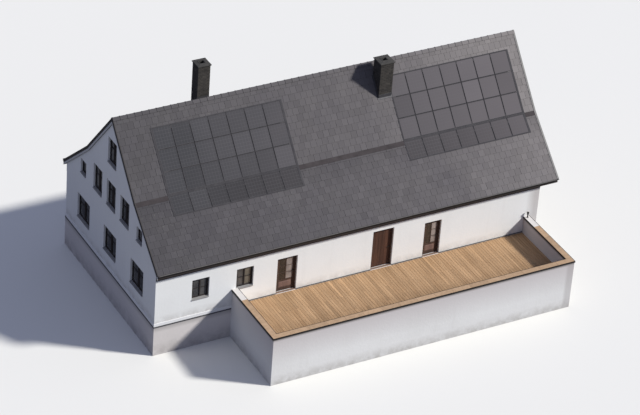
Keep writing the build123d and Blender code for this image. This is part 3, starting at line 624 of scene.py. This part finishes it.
# pale inside: painted reflection of the sky
sky_reflection = reckon(tree, "LESS_THAN", from_ridge, ridge_y - gutter_low.y - gutter_radius)
sheet = tint(tree, cloud(tree, place, 3.0), gutter_dark, gutter_pale)
skin(tree, shader, tint(tree, sky_reflection, sheet, (0.17, 0.16, 0.16)))
dress(gutter_with_sky_inside, "eave_gutters")
angle = np.linspace(0, -np.pi, 13)
radial = at(0, np.cos(angle), np.sin(angle))
strap = [(-0.0125, 0.0), (0.0125, 0.0), (0.0125, 0.004), (-0.0125, 0.004)]
bracket_x = np.linspace(gutter_low.x + bracket_end, gutter_high.x - bracket_end, bracket_count)
stop_x = [[gutter_low.x - 0.003, gutter_low.x + 0.001], [gutter_high.x - 0.001, gutter_high.x + 0.003]]
brackets, stops = [], []
for centre in (gutter_low.y + gutter_radius, gutter_high.y - gutter_radius):
    places = at(bracket_x, centre, eave_z)[:, None] + gutter_radius * radial
    brackets.append(carry(strap, places, x_way, radial))
    stops.append(carry(gutter_radius * radial[:, 1:], at(stop_x, centre, eave_z), y_way, z_way))
piece("gutter_brackets", brackets, gutter_metal)
places = at((gutter_low.x + 0.002, gutter_high.x - 0.002),
            [[gutter_low.y - bead_off], [gutter_high.y + bead_off]], eave_z - bead_off)
beads = carry(bead_radius * circle(10), places, y_way, z_way)
piece("gutter_beads", [beads], gutter_metal, smooth=True)
piece("gutter_stop_ends", stops, gutter_metal)


# Flashings: soft grey sheet dressed round each stack, lying on the tiles and turned up against
# the bricks, a flat dark strip round each field of solar modules, with a dark sheet under it, and
# an apron of dark sheet that closes the break between the two pitches of each slope.
def roof_height(y):
    """Height of the slopes' upper surface, which falls from ridge to kink to eave in straight lines."""
    return np.interp(np.abs(y - ridge_y), [0, kink_run, eave_run], [ridge_z, kink_z, eave_z])


flashing_sheet = toned("flashing_sheet", (0.050, 0.049, 0.052), (0.085, 0.083, 0.086), 0.1, 0.6, 4.0, 0.002,
                       metal=0.3)
tile_top = 0.037
lift = tile_top / np.cos(upper_pitch)
turned_up = [(0.045, lift), (0.003, lift + 0.002), (0.003, lift + 0.17), (-0.003, lift + 0.17),
             (-0.003, -0.05), (0.045, lift - 0.012)]
collars = []
for low, high in map(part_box, chimneys):
    collars.append(collar((low.x, high.x, low.y, high.y), turned_up, roof_height))
piece("chimney_flashings", collars, flashing_sheet)
trim = toned("array_trim", (0.048, 0.046, 0.050), (0.070, 0.067, 0.070), 0.05, 0.75, 3.0, 0.0005, shine=0.1)
trim_left, trim_right, trim_end = (0.09, 0.045), 0.09, 0.040
strips = []
for fields, part in ((upper_arrays, "upper"), (lower_arrays, "lower")):
    for (left, right, foot, head), wide in zip(fields, trim_left):
        near, far = left - wide, right + trim_right
        uprights = blocks([(near, foot, 0), (right, foot, 0)],
                          [(left, head, tile_top), (far, head, tile_top)], 0.004, 1)
        ends = blocks([(near, head, 0), (near, foot - trim_end, 0)],
                      [(far, head + trim_end, tile_top), (far, foot, tile_top)], 0.004, 0)
        under = blocks((left, foot, 0.001), (right, head, 0.012), 0.001, 0)
        strips += [lay(shape, slopes[-1, part]) for shape in (uprights, ends, under)]
piece("array_trims", strips, trim)
apron_sheet = toned("apron_sheet", (0.036, 0.030, 0.031), (0.058, 0.049, 0.050), 0.1, 0.75, 3.0, 0.001,
                    shine=0.2)
up, proud, pitch = np.transpose([(-0.225, 0.033, lower_pitch), (-0.213, 0.0385, lower_pitch),
                                 (-0.02, 0.029, lower_pitch), (0.02, 0.020, upper_pitch)])
apron_line = np.stack([kink_run - up * np.cos(pitch) + proud * np.sin(pitch),
                       kink_z + up * np.sin(pitch) + proud * np.cos(pitch)], 1)
front_breaks = [end for (left, right, *_), wide in zip(upper_arrays, trim_left)
                for end in (left - wide, right + trim_right)]
aprons = []
for side, breaks in ((-1, front_breaks), (1, [])):
    x = np.reshape([verge_left + verge_gap, *breaks, verge_right - verge_gap], (-1, 2))
    aprons.append(carry(folded(apron_line, 0.003), at(x, ridge_y, 0), side * y_way, z_way))
piece("kink_aprons", aprons, apron_sheet)

# Solar modules: glass over dark cells in black frames, seven across and three deep above the
# kink, with one shorter row below it, all let in flush with the tiles.
columns, column_pitch, module_width, module_height, module_gap = 7, 0.92, 0.90, 1.0, 0.02
rim, module_thickness, cell_width, cell_height, cell_line = 0.022, 0.038, 0.1427, 0.1594, 0.07
module_frame = toned("module_frame", (0.045, 0.043, 0.046), (0.064, 0.061, 0.064), 0.1, 0.7, 3.0, 0.0003,
                     shine=0.1)
module_glass, tree, shader, place = finish("module_glass", 0.8, 0.1)
spot = parts_of(tree, add(tree, "ShaderNodeAttribute", attribute_name="panel").outputs["Vector"])
lines = []
for axis, size in (("X", cell_width), ("Y", cell_height)):
    within = reckon(tree, "FRACT", reckon(tree, "DIVIDE", spot[axis], size))
    lines.append(reckon(tree, "LESS_THAN", within, cell_line))
across, _, height = parts_of(tree, place)
# painted sheen: the glass grows paler towards the right
sheen = spread(tree, plus(tree, across, times(tree, cloud(tree, place, 0.5, 3), 5.0)), -6.0, 12.0)
cell = tint(tree, sheen, (0.052, 0.052, 0.056), (0.126, 0.114, 0.118))
# the lower row is darkened, least at the left-hand end: painted dimmer reflection on the easier pitch
below = times(tree, reckon(tree, "LESS_THAN", height, kink_z), spread(tree, across, -8.0, -4.0, 0.15, 0.6),
              spread(tree, across, 4.0, 9.5, 1, 0.3))
cell = tint(tree, below, cell, (0.030, 0.028, 0.029))
colour = tint(tree, times(tree, reckon(tree, "MAXIMUM", *lines), 0.4), cell, (0.13, 0.125, 0.13))
skin(tree, shader, placed(tree, "piece_tone", Color=colour, Range=0.35)["Color"])


def rails(low, high, width, chamfer, tuck=0.0):
    """Four rails round each of many rectangles: two uprights, and two cross rails between them.

    Each rail reaches a width inwards from the edge of its rectangle, and a tuck past that edge.
    """
    (left, bottom, near), (right, top, far) = low.T, high.T
    shapes = [blocks(at(start, bottom, near), at(end, top, far), chamfer, 1)
              for start, end in ((left - tuck, left + width), (right - width, right + tuck))]
    shapes += [blocks(at(left + width, start, near), at(right - width, end, far), chamfer, 0)
               for start, end in ((bottom - tuck, bottom + width), (top - width, top + tuck))]
    return shapes


for name, (array_low, _) in zip(("left", "right"), array_boxes):
    frames, panes, spots = [], [], []
    for part, rows, height, base in (("upper", 3, module_height, kink_gap),
                                     ("lower", 1, lower_array_height, lower_array_foot)):
        row = np.arange(rows)[:, None]
        low = at(array_low.x + np.arange(columns) * column_pitch, base + row * (height + module_gap), 0)
        low = low.reshape(-1, 3)
        high = low + (module_width, height, module_thickness)
        inner_low, inner_high = low + (rim, rim, 0), high - (rim, rim, 0)
        pane = blocks(inner_low + (-0.002, -0.002, 0.004), inner_high + (0.002, 0.002, -0.004), 0.001, 0)
        frames += [lay(rail, slopes[-1, part]) for rail in rails(low, high, rim, 0.003)]
        panes.append(lay(pane, slopes[-1, part]))
        spots.append(pane[0] - inner_low[pane[2]])
    piece(f"solar_frames_{name}", frames, module_frame, stands_for=[f"solar_array_{name}"])
    piece(f"solar_glass_{name}", panes, module_glass, panel=np.concatenate(spots))

# Windows: dark brown softwood frames set back in plastered reveals, with opening casements in
# them. Two-light windows have a mullion, and the casements are divided by thin glazing bars.
quarter = np.pi / 2
brown_joinery = timber("brown_joinery", (0.085, 0.048, 0.034), (0.045, 0.026, 0.019), (0, quarter, 0),
                       shine=0.35)
dress(brown_joinery, "door_jambs", "door_heads")
dark_joinery = timber("dark_joinery", (0.034, 0.026, 0.024), (0.020, 0.016, 0.015), (0, quarter, 0),
                      shine=0.25)
dress(dark_joinery, "front_window_frames", "back_window_frames", "gable_window_frames")
middle = (house_low + house_high) / 2
# a wall's axes: the left end or the middle of its foot, and the ways along it, up it and out of it
walls = {"front": (at(house_low.x, house_low.y, 0), x_way, z_way, -y_way),
         "back": (at(middle.x, house_high.y, 0), -x_way, z_way, y_way),
         "left": (at(house_low.x, middle.y, 0), -y_way, z_way, -x_way),
         "right": (at(house_high.x, middle.y, 0), y_way, z_way, x_way)}
# a window's sill, width and head, its lights, and the upright bars and cross bars of a light
low_window, gable_window = (2.56, 0.86, 3.62, 1, 1, 1), (2.42, 1.35, 3.72, 2, 0, 1)
attic_window, top_window = (4.99, 0.95, 6.34, 2, 0, 1), (7.29, 0.90, 8.59, 2, 0, 1)
eave_window = (4.99, 0.60, 5.7405, 1, 0, 0)
gable_windows = [(i * 2.9, *gable_window) for i in (-1, 0, 1)]
gable_windows += [(i * 1.45, *attic_window) for i in (-1, 0, 1)]
gable_windows += [(-3.02, *eave_window), (3.02, *eave_window), (0, *top_window)]
wall_windows = {"front": [(centre, *low_window) for centre in (2.25, 4.48)],
                "back": [(i * 3.6, *low_window) for i in (-2, -1, 0, 1, 2)],
                "left": gable_windows, "right": gable_windows}
frame_width, mullion, sash, upright_bar, cross_bar = 0.06, 0.07, 0.036, 0.060, 0.024
sash_near, sash_far = -0.125, -0.090


def lights_of(windows):
    """Each light of the windows: left, right, bottom and top of its opening, and its bars.

    The lights share the width that the frame and the mullions leave.
    """
    rows = []
    for centre, sill, width, head, count, uprights, crosses in windows:
        clear = (width - 2 * frame_width - (count - 1) * mullion) / count
        lefts = centre - width / 2 + frame_width + np.arange(count) * (clear + mullion)
        bottom, top = sill + frame_width, head - frame_width
        rows += [(left, left + clear, bottom, top, uprights, crosses) for left in lefts]
    return np.array(rows, float)


def casements(windows, cross_share):
    """Four rails round each light and the bars that cross it, as chamfered blocks flat on the wall."""
    left, right, bottom, top, uprights, crosses = lights_of(windows).T
    shapes = rails(at(left, bottom, sash_near), at(right, top, sash_far), sash, 0.006, 0.002)
    middle, level = (left + right) / 2, bottom + (top - bottom) * cross_share
    bars = ((uprights, at(middle - upright_bar / 2, bottom + sash, sash_near),
             at(middle + upright_bar / 2, top - sash, sash_far), 0.006, 1),
            (crosses, at(left + sash, level - cross_bar / 2, sash_near + 0.004),
             at(right - sash, level + cross_bar / 2, sash_far - 0.006), 0.005, 0))
    for wanted, low, high, chamfer, along in bars:
        if wanted.any():
            shapes.append(blocks(low[wanted > 0], high[wanted > 0], chamfer, along))
    return shapes


for name, faces, cross_share in (("front", ["front"], 0.5), ("back", ["back"], 0.5),
                                 ("gable", ["left", "right"], 0.62)):
    shapes = []
    for face in faces:
        shapes += [lay(shape, walls[face]) for shape in casements(wall_windows[face], cross_share)]
    piece(f"{name}_window_casements", shapes, dark_joinery)


# Glass: clear double glazing, painted with the dark rooms behind it and a painted reflection of the
# pale sky on it. The right-hand pane of each terrace door, and of the window beside the first, is
# paler.
def glazing(name, deep, pale, panes, paler_spans):
    """Clear glass over a cloudy tone between two colours: the dark rooms and a painted reflection.

    A paler span is where it starts and ends along the wall, and its own two colours.
    """
    material, tree, shader, place = finish(name, 0.06)
    fill(tree, shader.inputs, {"Transmission Weight": 0.35})
    share = spread(tree, cloud(tree, place, 1.3, 3), 0.35, 0.65)
    colour = tint(tree, share, deep, pale)
    across = parts_of(tree, place)["X"]
    for low, high, span_deep, span_pale in paler_spans:
        past_start = reckon(tree, "GREATER_THAN", across, low)
        inside = times(tree, past_start, reckon(tree, "LESS_THAN", across, high))
        colour = tint(tree, inside, colour, tint(tree, share, span_deep, span_pale))
    skin(tree, shader, colour)
    dress(material, *panes)


glazing("window_glass", (0.085, 0.083, 0.083), (0.170, 0.162, 0.155),
        ["front_window_glass", "back_window_glass", "gable_window_glass"],
        [(-5.87, -5.50, (0.19, 0.17, 0.135), (0.26, 0.235, 0.19))])
terrace_doors = ("left_terrace_door", "right_terrace_door")
door_panes = [name + "_glass" for name in terrace_doors]
glazing("door_glass", (0.050, 0.036, 0.028), (0.078, 0.060, 0.048), door_panes,
        [((low.x + high.x) / 2, high.x, (0.34, 0.285, 0.255), (0.52, 0.45, 0.41))
         for low, high in map(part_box, door_panes)])

# Drip strip: a band of dark sheet round the plinth a hand's breadth below the floor, turned into
# the render at its top and kicked out at its foot. The plaster of the walls comes down to it.
terrace_low, terrace_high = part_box("terrace_left_wall")[0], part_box("terrace_right_wall")[1]
plinth_low, plinth_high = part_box("plinth_left")[0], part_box("plinth_right")[1]
drip_line = np.array([(-0.010, 0), (0.006, 0), (0.007, -0.050), (0.014, -0.060)]) + (0, drip_level)
left, right, front, back = plinth_low.x, plinth_high.x, plinth_low.y, plinth_high.y
places = at((terrace_low.x, left, left, right, right, terrace_high.x),
            (front, front, back, back, front, front), 0)
outward = at((0, -1, -1, 1, 1, 0), (-1, -1, 1, 1, -1, -1), 0)
piece("plinth_drip_strip", [carry(folded(drip_line, -0.002), places, outward, z_way)], flashing_sheet)

# Window sills: folded zinc sheet, dulled by weather, turned up behind the frame and down over the
# plaster. Each is as wide as its reveal.
sill_sheet = toned("sill_sheet", (0.30, 0.295, 0.29), (0.42, 0.41, 0.40), 0.1, 0.5, 4.0, 0.0005, metal=0.3)
sill_line = [(0.032, -0.0995), (0.017, -0.0985), (0.005, 0.034), (-0.024, 0.036), (-0.030, 0.030)]
sill_end_gap = 0.001
sills = []
for face, windows in wall_windows.items():
    centre, sill, width = np.transpose([window[:3] for window in windows])
    half = width / 2 - sill_end_gap
    ends = at(np.stack([centre - half, centre + half], 1), sill[:, None], 0)
    sills.append(lay(carry(folded(sill_line, -0.0025), ends, y_way, z_way), walls[face]))
piece("window_sills", sills, sill_sheet)

# Plank door: six upright boards stained dark brown, grooved at the joints and nailed to ledges,
# and hung on iron pins. The nails stand out of the boards as small forged domes.
jamb_width, leaf_gap, plank_width, plank_count, nail_apart = 0.06, 0.008, 0.1607, 6, 0.06
plank_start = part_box("front_wall_middle")[1].x + jamb_width + leaf_gap
leaf_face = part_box("plank_door")[0].y


def stained_planks(tree, place, colour):
    """The grain's colour with a chance share of a darker stain on each board."""
    from_start = reckon(tree, "SUBTRACT", parts_of(tree, place)["X"], plank_start)
    plank = reckon(tree, "FLOOR", reckon(tree, "DIVIDE", from_start, plank_width))
    chance = add(tree, "ShaderNodeTexWhiteNoise", {"W": plank}, noise_dimensions="1D").outputs["Value"]
    return tint(tree, spread(tree, chance, 0, 1, 0, 0.45), colour, (0.035, 0.016, 0.011))


def turned(profile, count):
    """Sections of a turned shape: a circle of the profile's radius at each of its heights."""
    return profile[:, None, :1] * circle(count)


dark_planks = timber("dark_planks", (0.115, 0.050, 0.030), (0.050, 0.023, 0.015), (0, quarter, 0),
                     stained_planks, shine=0.35)
dress(dark_planks, "plank_door")
dark_iron = toned("dark_iron", (0.020, 0.019, 0.018), (0.038, 0.036, 0.033), 0.1, 0.5, 30.0, 0.0005,
                  metal=0.4)
dress(dark_iron, "plank_door_handle", *(name + "_handle" for name in terrace_doors), "door_hinge_pins")
nail_x = plank_start + plank_width * (np.arange(plank_count) + 0.5)
nail_levels, sides = np.array([[1.95], [2.75], [3.55]]), np.array([[[1]], [[-1]]])
nail = np.array([[0.011, -0.002], [0.011, 0.002], [0.007, 0.006]])
heads = at(nail_x + sides * nail_apart / 2, leaf_face, nail_levels).reshape(-1, 1, 3)
nails = carry(turned(nail, 8), heads - at(0, nail[:, 1], 0), x_way, z_way)
piece("plank_door_nails", [nails], dark_iron, body="plank_door")

# Terrace doors: brown framed leaves with two tall panes, each crossed by glazing bars, over a
# lower panel that is fielded with a bevel and has weathered to a paler, greyer brown.
dress(brown_joinery, *terrace_doors)
faded_panel = timber("faded_panel", (0.225, 0.140, 0.112), (0.135, 0.080, 0.066), (0, quarter, 0),
                     shine=0.35)
panel_foot, panel_head, door_mullion, half_bar, bar_end = 1.91, 2.255, 0.045, 0.012, 0.001
inset, depth_in = np.array([0.002, 0.022, 0.055, 0.060]), np.array([0.013, 0.010, 0.001, 0.0])
inward = np.array([[1, 1], [-1, 1], [-1, -1], [1, -1]])
for name in terrace_doors:
    low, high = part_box(name + "_glass")
    middle = (low.x + high.x) / 2
    starts = np.array([low.x, middle + door_mullion / 2]) - bar_end
    ends = np.array([middle - door_mullion / 2, high.x]) + bar_end
    levels = low.z + (high.z - low.z) * np.array([[1 / 3], [2 / 3]])
    bars = blocks(at(starts, leaf_face + 0.001, levels - half_bar),
                  at(ends, leaf_face + 0.011, levels + half_bar), 0.003, 0)
    piece(name + "_bars", [bars], brown_joinery, body=name)
    outline = np.array([(low.x, panel_foot), (high.x, panel_foot), (high.x, panel_head), (low.x, panel_head)])
    loop = outline + inset[:, None, None] * inward
    panel = carry(loop, at(0, leaf_face + depth_in, 0), x_way, z_way)
    piece(name + "_panel", [panel], faded_panel, body=name)

# Door sills: brown sandstone bedded in the threshold in front of each leaf, a finger proud of the
# wall and dark with tread.
sill_stone = toned("sill_stone", (0.17, 0.115, 0.085), (0.24, 0.165, 0.125), 0.2, 0.85, 6.0, 0.002)
stretch_boxes = [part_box(stretch) for stretch in stretches]
left = np.array([high.x for low, high in stretch_boxes[:-1]]) + 0.003
right = np.array([low.x for low, high in stretch_boxes[1:]]) - 0.003
piece("door_sills", [blocks(at(left, house_low.y - 0.022, floor_level),
                            at(right, house_low.y + 0.098, floor_level + 0.022), 0.006, 0)],
      sill_stone)

# Terrace walls: masonry retaining walls that rise past the deck as a parapet, plastered white like
# the house and greyed by damp towards the foot. They grow greyer up towards the coping, and a dark
# band just under the coping and the darker right-hand wall are painted shade.
terrace_plaster = coat("terrace_plaster", (0.80, 0.795, 0.775), (0.44, 0.42, 0.385), 0.0, 0.6, 0.005,
                       [("Z", 1.0, 2.4, 1.0, (0.60, 0.56, 0.548)),
                        # painted shade under the coping
                        ("Z", 2.38, 2.50, 0.75, (0.16, 0.14, 0.125)),
                        # painted shade on the right-hand wall
                        ("X", 8.75, 8.90, 0.4, (0.36, 0.33, 0.32))])
dress(terrace_plaster, "terrace_front_wall", "terrace_left_wall", "terrace_right_wall")

# Copings: honey-coloured sandstone slabs bedded on the parapets, about a metre long, with their
# arrises eased and narrow mortar joints between them. The two slabs at the house are pale grey-white.
coping_stone = toned("coping_stone", (0.395, 0.264, 0.160), (0.515, 0.350, 0.218), 0.25, 0.85, 5.0, 0.003,
                     shine=0.3)
pale_stone = toned("pale_stone", (0.66, 0.63, 0.60), (0.74, 0.71, 0.68), 0.05, 0.9, 5.0, 0.003, shine=0.2)
front_low, front_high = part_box("terrace_front_coping")
side_low, side_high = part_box("terrace_side_copings")
coping_width, coping_joint, joint_back, joint_end = front_high.y - front_low.y, 0.007, 0.012, 0.02


def stones(low, high, along, count):
    """A run of equal slabs between two corners, with a joint at each meeting."""
    starts, ends = (np.tile(np.array(corner, float), (count, 1)) for corner in (low, high))
    starts[:, along], ends[:, along] = lengths(low[along], high[along], count, coping_joint)
    return blocks(starts, ends, 0.009, along)


def joints(low, high, along):
    """The mortar between a run of slabs: one block, drawn in a little from their faces and ends."""
    inset = np.full(3, joint_back)
    inset[along] = joint_end
    return blocks(np.array(low) + inset, np.array(high) - inset, 0.002, along)


side_start, bottom, top = side_low.y + coping_joint, side_low.z, side_high.z
last_joint = side_start + (side_high.y + coping_joint - side_start) * 3 / 4
side_runs = ((side_low.x, side_low.x + coping_width), (side_high.x - coping_width, side_high.x))
honey, pale_ends, mortar = [], [], [joints(front_low, front_high, 0)]
for left, right in side_runs:
    honey.append(stones((left, side_start, bottom), (right, last_joint - coping_joint, top), 1, 3))
    pale_ends.append(stones((left, last_joint, bottom), (right, side_high.y, top), 1, 1))
    mortar.append(joints((left, side_start, bottom), (right, side_high.y, top), 1))
piece("front_coping_stones", [stones(front_low, front_high, 0, 17)], coping_stone,
      stands_for=["terrace_front_coping"])
piece("side_coping_stones", honey, coping_stone, stands_for=["terrace_side_copings"])
piece("limed_coping_stones", pale_ends, pale_stone)
piece("coping_joints", mortar, bedding)

# Coping edges: a strip of dark bronze-coloured sheet on the outer and the inner edge of the copings,
# folded in over their top by a finger's width, with a drip at its foot. Its darkness is partly the
# sheet's own colour and partly painted shade of the gap under the coping.
edge_sheet = toned("edge_sheet", (0.020, 0.018, 0.016), (0.034, 0.030, 0.027), 0.1, 0.5, 4.0, 0.0005,
                   metal=0.4)
edge_line = np.array([(-0.022, 0.0015), (0.0015, 0.0015), (0.0015, -0.068), (0.010, -0.076)]) + (0, top)
outward = at((-1, -1, 1, 1), (0, -1, -1, 0), 0)
edges = []
for away, inset in ((1, 0), (-1, coping_width)):
    left, right, front, back = side_low.x + inset, side_high.x - inset, front_low.y + inset, side_high.y
    places = at((left, left, right, right), (back, front, front, back), 0)
    edges.append(carry(folded(edge_line, -0.002), places, away * outward, z_way))
piece("coping_edges", edges, edge_sheet)

# Post light: a low lamp of dark iron on the house end of the right parapet, with a foot plate,
# a thin stem and a drum under a flat conical hood.
light_x, light_from_wall = 9.04, 0.13
post = np.array([(0.045, 0.0), (0.045, 0.012), (0.030, 0.018), (0.030, 0.17), (0.046, 0.18), (0.046, 0.27),
                 (0.062, 0.28), (0.058, 0.29), (0.010, 0.32)])
places = at(light_x, house_low.y - light_from_wall, side_high.z + post[:, 1])
piece("parapet_post_light", [carry(turned(post, 16), places, x_way, y_way)], dark_iron,
      smooth=True)

# Deck: softwood boards oiled to a honey colour, laid from the house to the parapet with a small
# gap between them, and butt joints in turn at a little over a third and under two thirds.
deck_low, deck_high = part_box("terrace_deck")
board_count, board_gap, end_gap, side_gap = 105, 0.006, 0.004, 0.004


def boards_darker_at_front(tree, place, colour):
    """The grain's colour in a tone for each board, turned darker towards the front parapet."""
    back = plus(tree, parts_of(tree, place)["Y"], cloud(tree, place, 0.8, 3))
    darkening = spread(tree, back, deck_low.y + 1.1, deck_low.y + 2.3, 0.42, 0)
    dry = placed(tree, "piece_tone", Color=colour, Range=0.4)["Color"]
    return tint(tree, darkening, dry, (0.10, 0.062, 0.036))


deck_timber = timber("deck_timber", (0.52, 0.335, 0.185), (0.34, 0.205, 0.105), (0, 0, quarter), boards_darker_at_front,
                     shine=0.3)
left, right = lengths(deck_low.x + side_gap, deck_high.x - side_gap, board_count, board_gap)
cut = deck_low.y + (deck_high.y - deck_low.y) * np.where(np.arange(board_count) % 2, 0.36, 0.64)
low = np.concatenate([at(left, deck_low.y + end_gap, deck_low.z), at(left, cut + end_gap / 2, deck_low.z)])
high = np.concatenate([at(right, cut - end_gap / 2, deck_high.z),
                       at(right, deck_high.y - end_gap, deck_high.z)])
piece("deck_boards", [blocks(low, high, 0.004, 1)], deck_timber, stands_for=["terrace_deck"])

# Wall battens: dark battens on the ledge of the plinth, between the doorways, that close the joint
# between the deck and the wall and overhang the ends of the boards a little. Their dark colour is
# painted shade, for the shadow gap at the foot of the wall.
shade_dark_batten = toned("shade_dark_batten", (0.050, 0.046, 0.044), (0.075, 0.070, 0.067), 0.05, 0.6, 2.0, 0.001)
battens = []
for low, high in stretch_boxes:
    start, end = max(low.x, deck_low.x) + 0.003, min(high.x, deck_high.x) - 0.003
    battens.append(blocks((start, deck_high.y - 0.016, floor_level + 0.0015),
                          (end, house_low.y - 0.001, floor_level + 0.029), 0.003, 0))
piece("wall_battens", battens, shade_dark_batten)

# Stage: a plain pale floor, a soft sun from the right and the front, an even pale sky, and the
# camera at the photograph's point and angle, turned to the house and with a longer lens.
half_floor, floor_drop = 400, 0.002
floor_mesh = bpy.data.meshes.new("stage_floor")
corners = at(half_floor * np.array([-1, 1, 1, -1]), half_floor * np.array([-1, -1, 1, 1]), -floor_drop)
floor_mesh.from_pydata(corners.tolist(), [], [(0, 1, 2, 3)])
put("stage_floor", floor_mesh)
stage_floor, tree, shader, _ = finish("stage_floor", 1.0, 0.0)
seen = add(tree, "ShaderNodeLightPath").outputs["Is Camera Ray"]
skin(tree, shader, tint(tree, seen, (0.22, 0.22, 0.22), (0.80, 0.79, 0.745)))
floor_mesh.materials.append(stage_floor)

world = bpy.data.worlds.new("studio")
bpy.context.scene.world = world
world.use_nodes = True
tree = world.node_tree
seen = add(tree, "ShaderNodeLightPath").outputs["Is Camera Ray"]
sky = tint(tree, seen, (0.226, 0.256, 0.378), (0.90, 0.90, 0.90))
fill(tree, tree.nodes["Background"].inputs, {"Color": sky})

sun = bpy.data.lights.new("sun", "SUN")
sun.energy, sun.angle, sun.color = 4.5, 0.10, (1.0, 0.985, 0.955)
bearing, height = np.radians(57), np.radians(36)
toward = Vector((np.sin(bearing) * np.cos(height), -np.cos(bearing) * np.cos(height), np.sin(height)))
lamp = put("sun", sun)
lamp.rotation_mode = "QUATERNION"
lamp.rotation_quaternion = toward.to_track_quat("Z", "Y")

yaw, pitch, roll = np.radians((23.811, 34.822, 0.713))
station = Vector((-59.319, -100.334, 80.511))
ahead = Vector((np.sin(yaw) * np.cos(pitch), np.cos(yaw) * np.cos(pitch), -np.sin(pitch)))
level_right = Vector((np.cos(yaw), -np.sin(yaw), 0))
level_up = level_right.cross(ahead)
right = level_right * float(np.cos(roll)) + level_up * float(np.sin(roll))
upward = level_up * float(np.cos(roll)) - level_right * float(np.sin(roll))
photo_turn = Matrix((right, upward, -ahead)).transposed()
photo_width, photo_focus, view_focus = 640.0, 1343.06, 3000.0
house_pixel, centre_pixel = Vector((449.0, 181.0)), Vector((320.0, 207.5))
offset = house_pixel - centre_pixel
aim = ahead * photo_focus + right * offset.x - upward * offset.y
turn = ahead.rotation_difference(aim.normalized()).to_matrix() @ photo_turn
camera_data = bpy.data.cameras.new("camera")
camera = put("camera", camera_data)
camera.matrix_world = Matrix.Translation(station) @ turn.to_4x4()
camera_data.sensor_width = 36.0
camera_data.lens = camera_data.sensor_width * view_focus / photo_width
camera_data.clip_start, camera_data.clip_end = 1.0, 1000.0
bpy.context.scene.camera = camera
bpy.context.scene.view_settings.view_transform = "Standard"
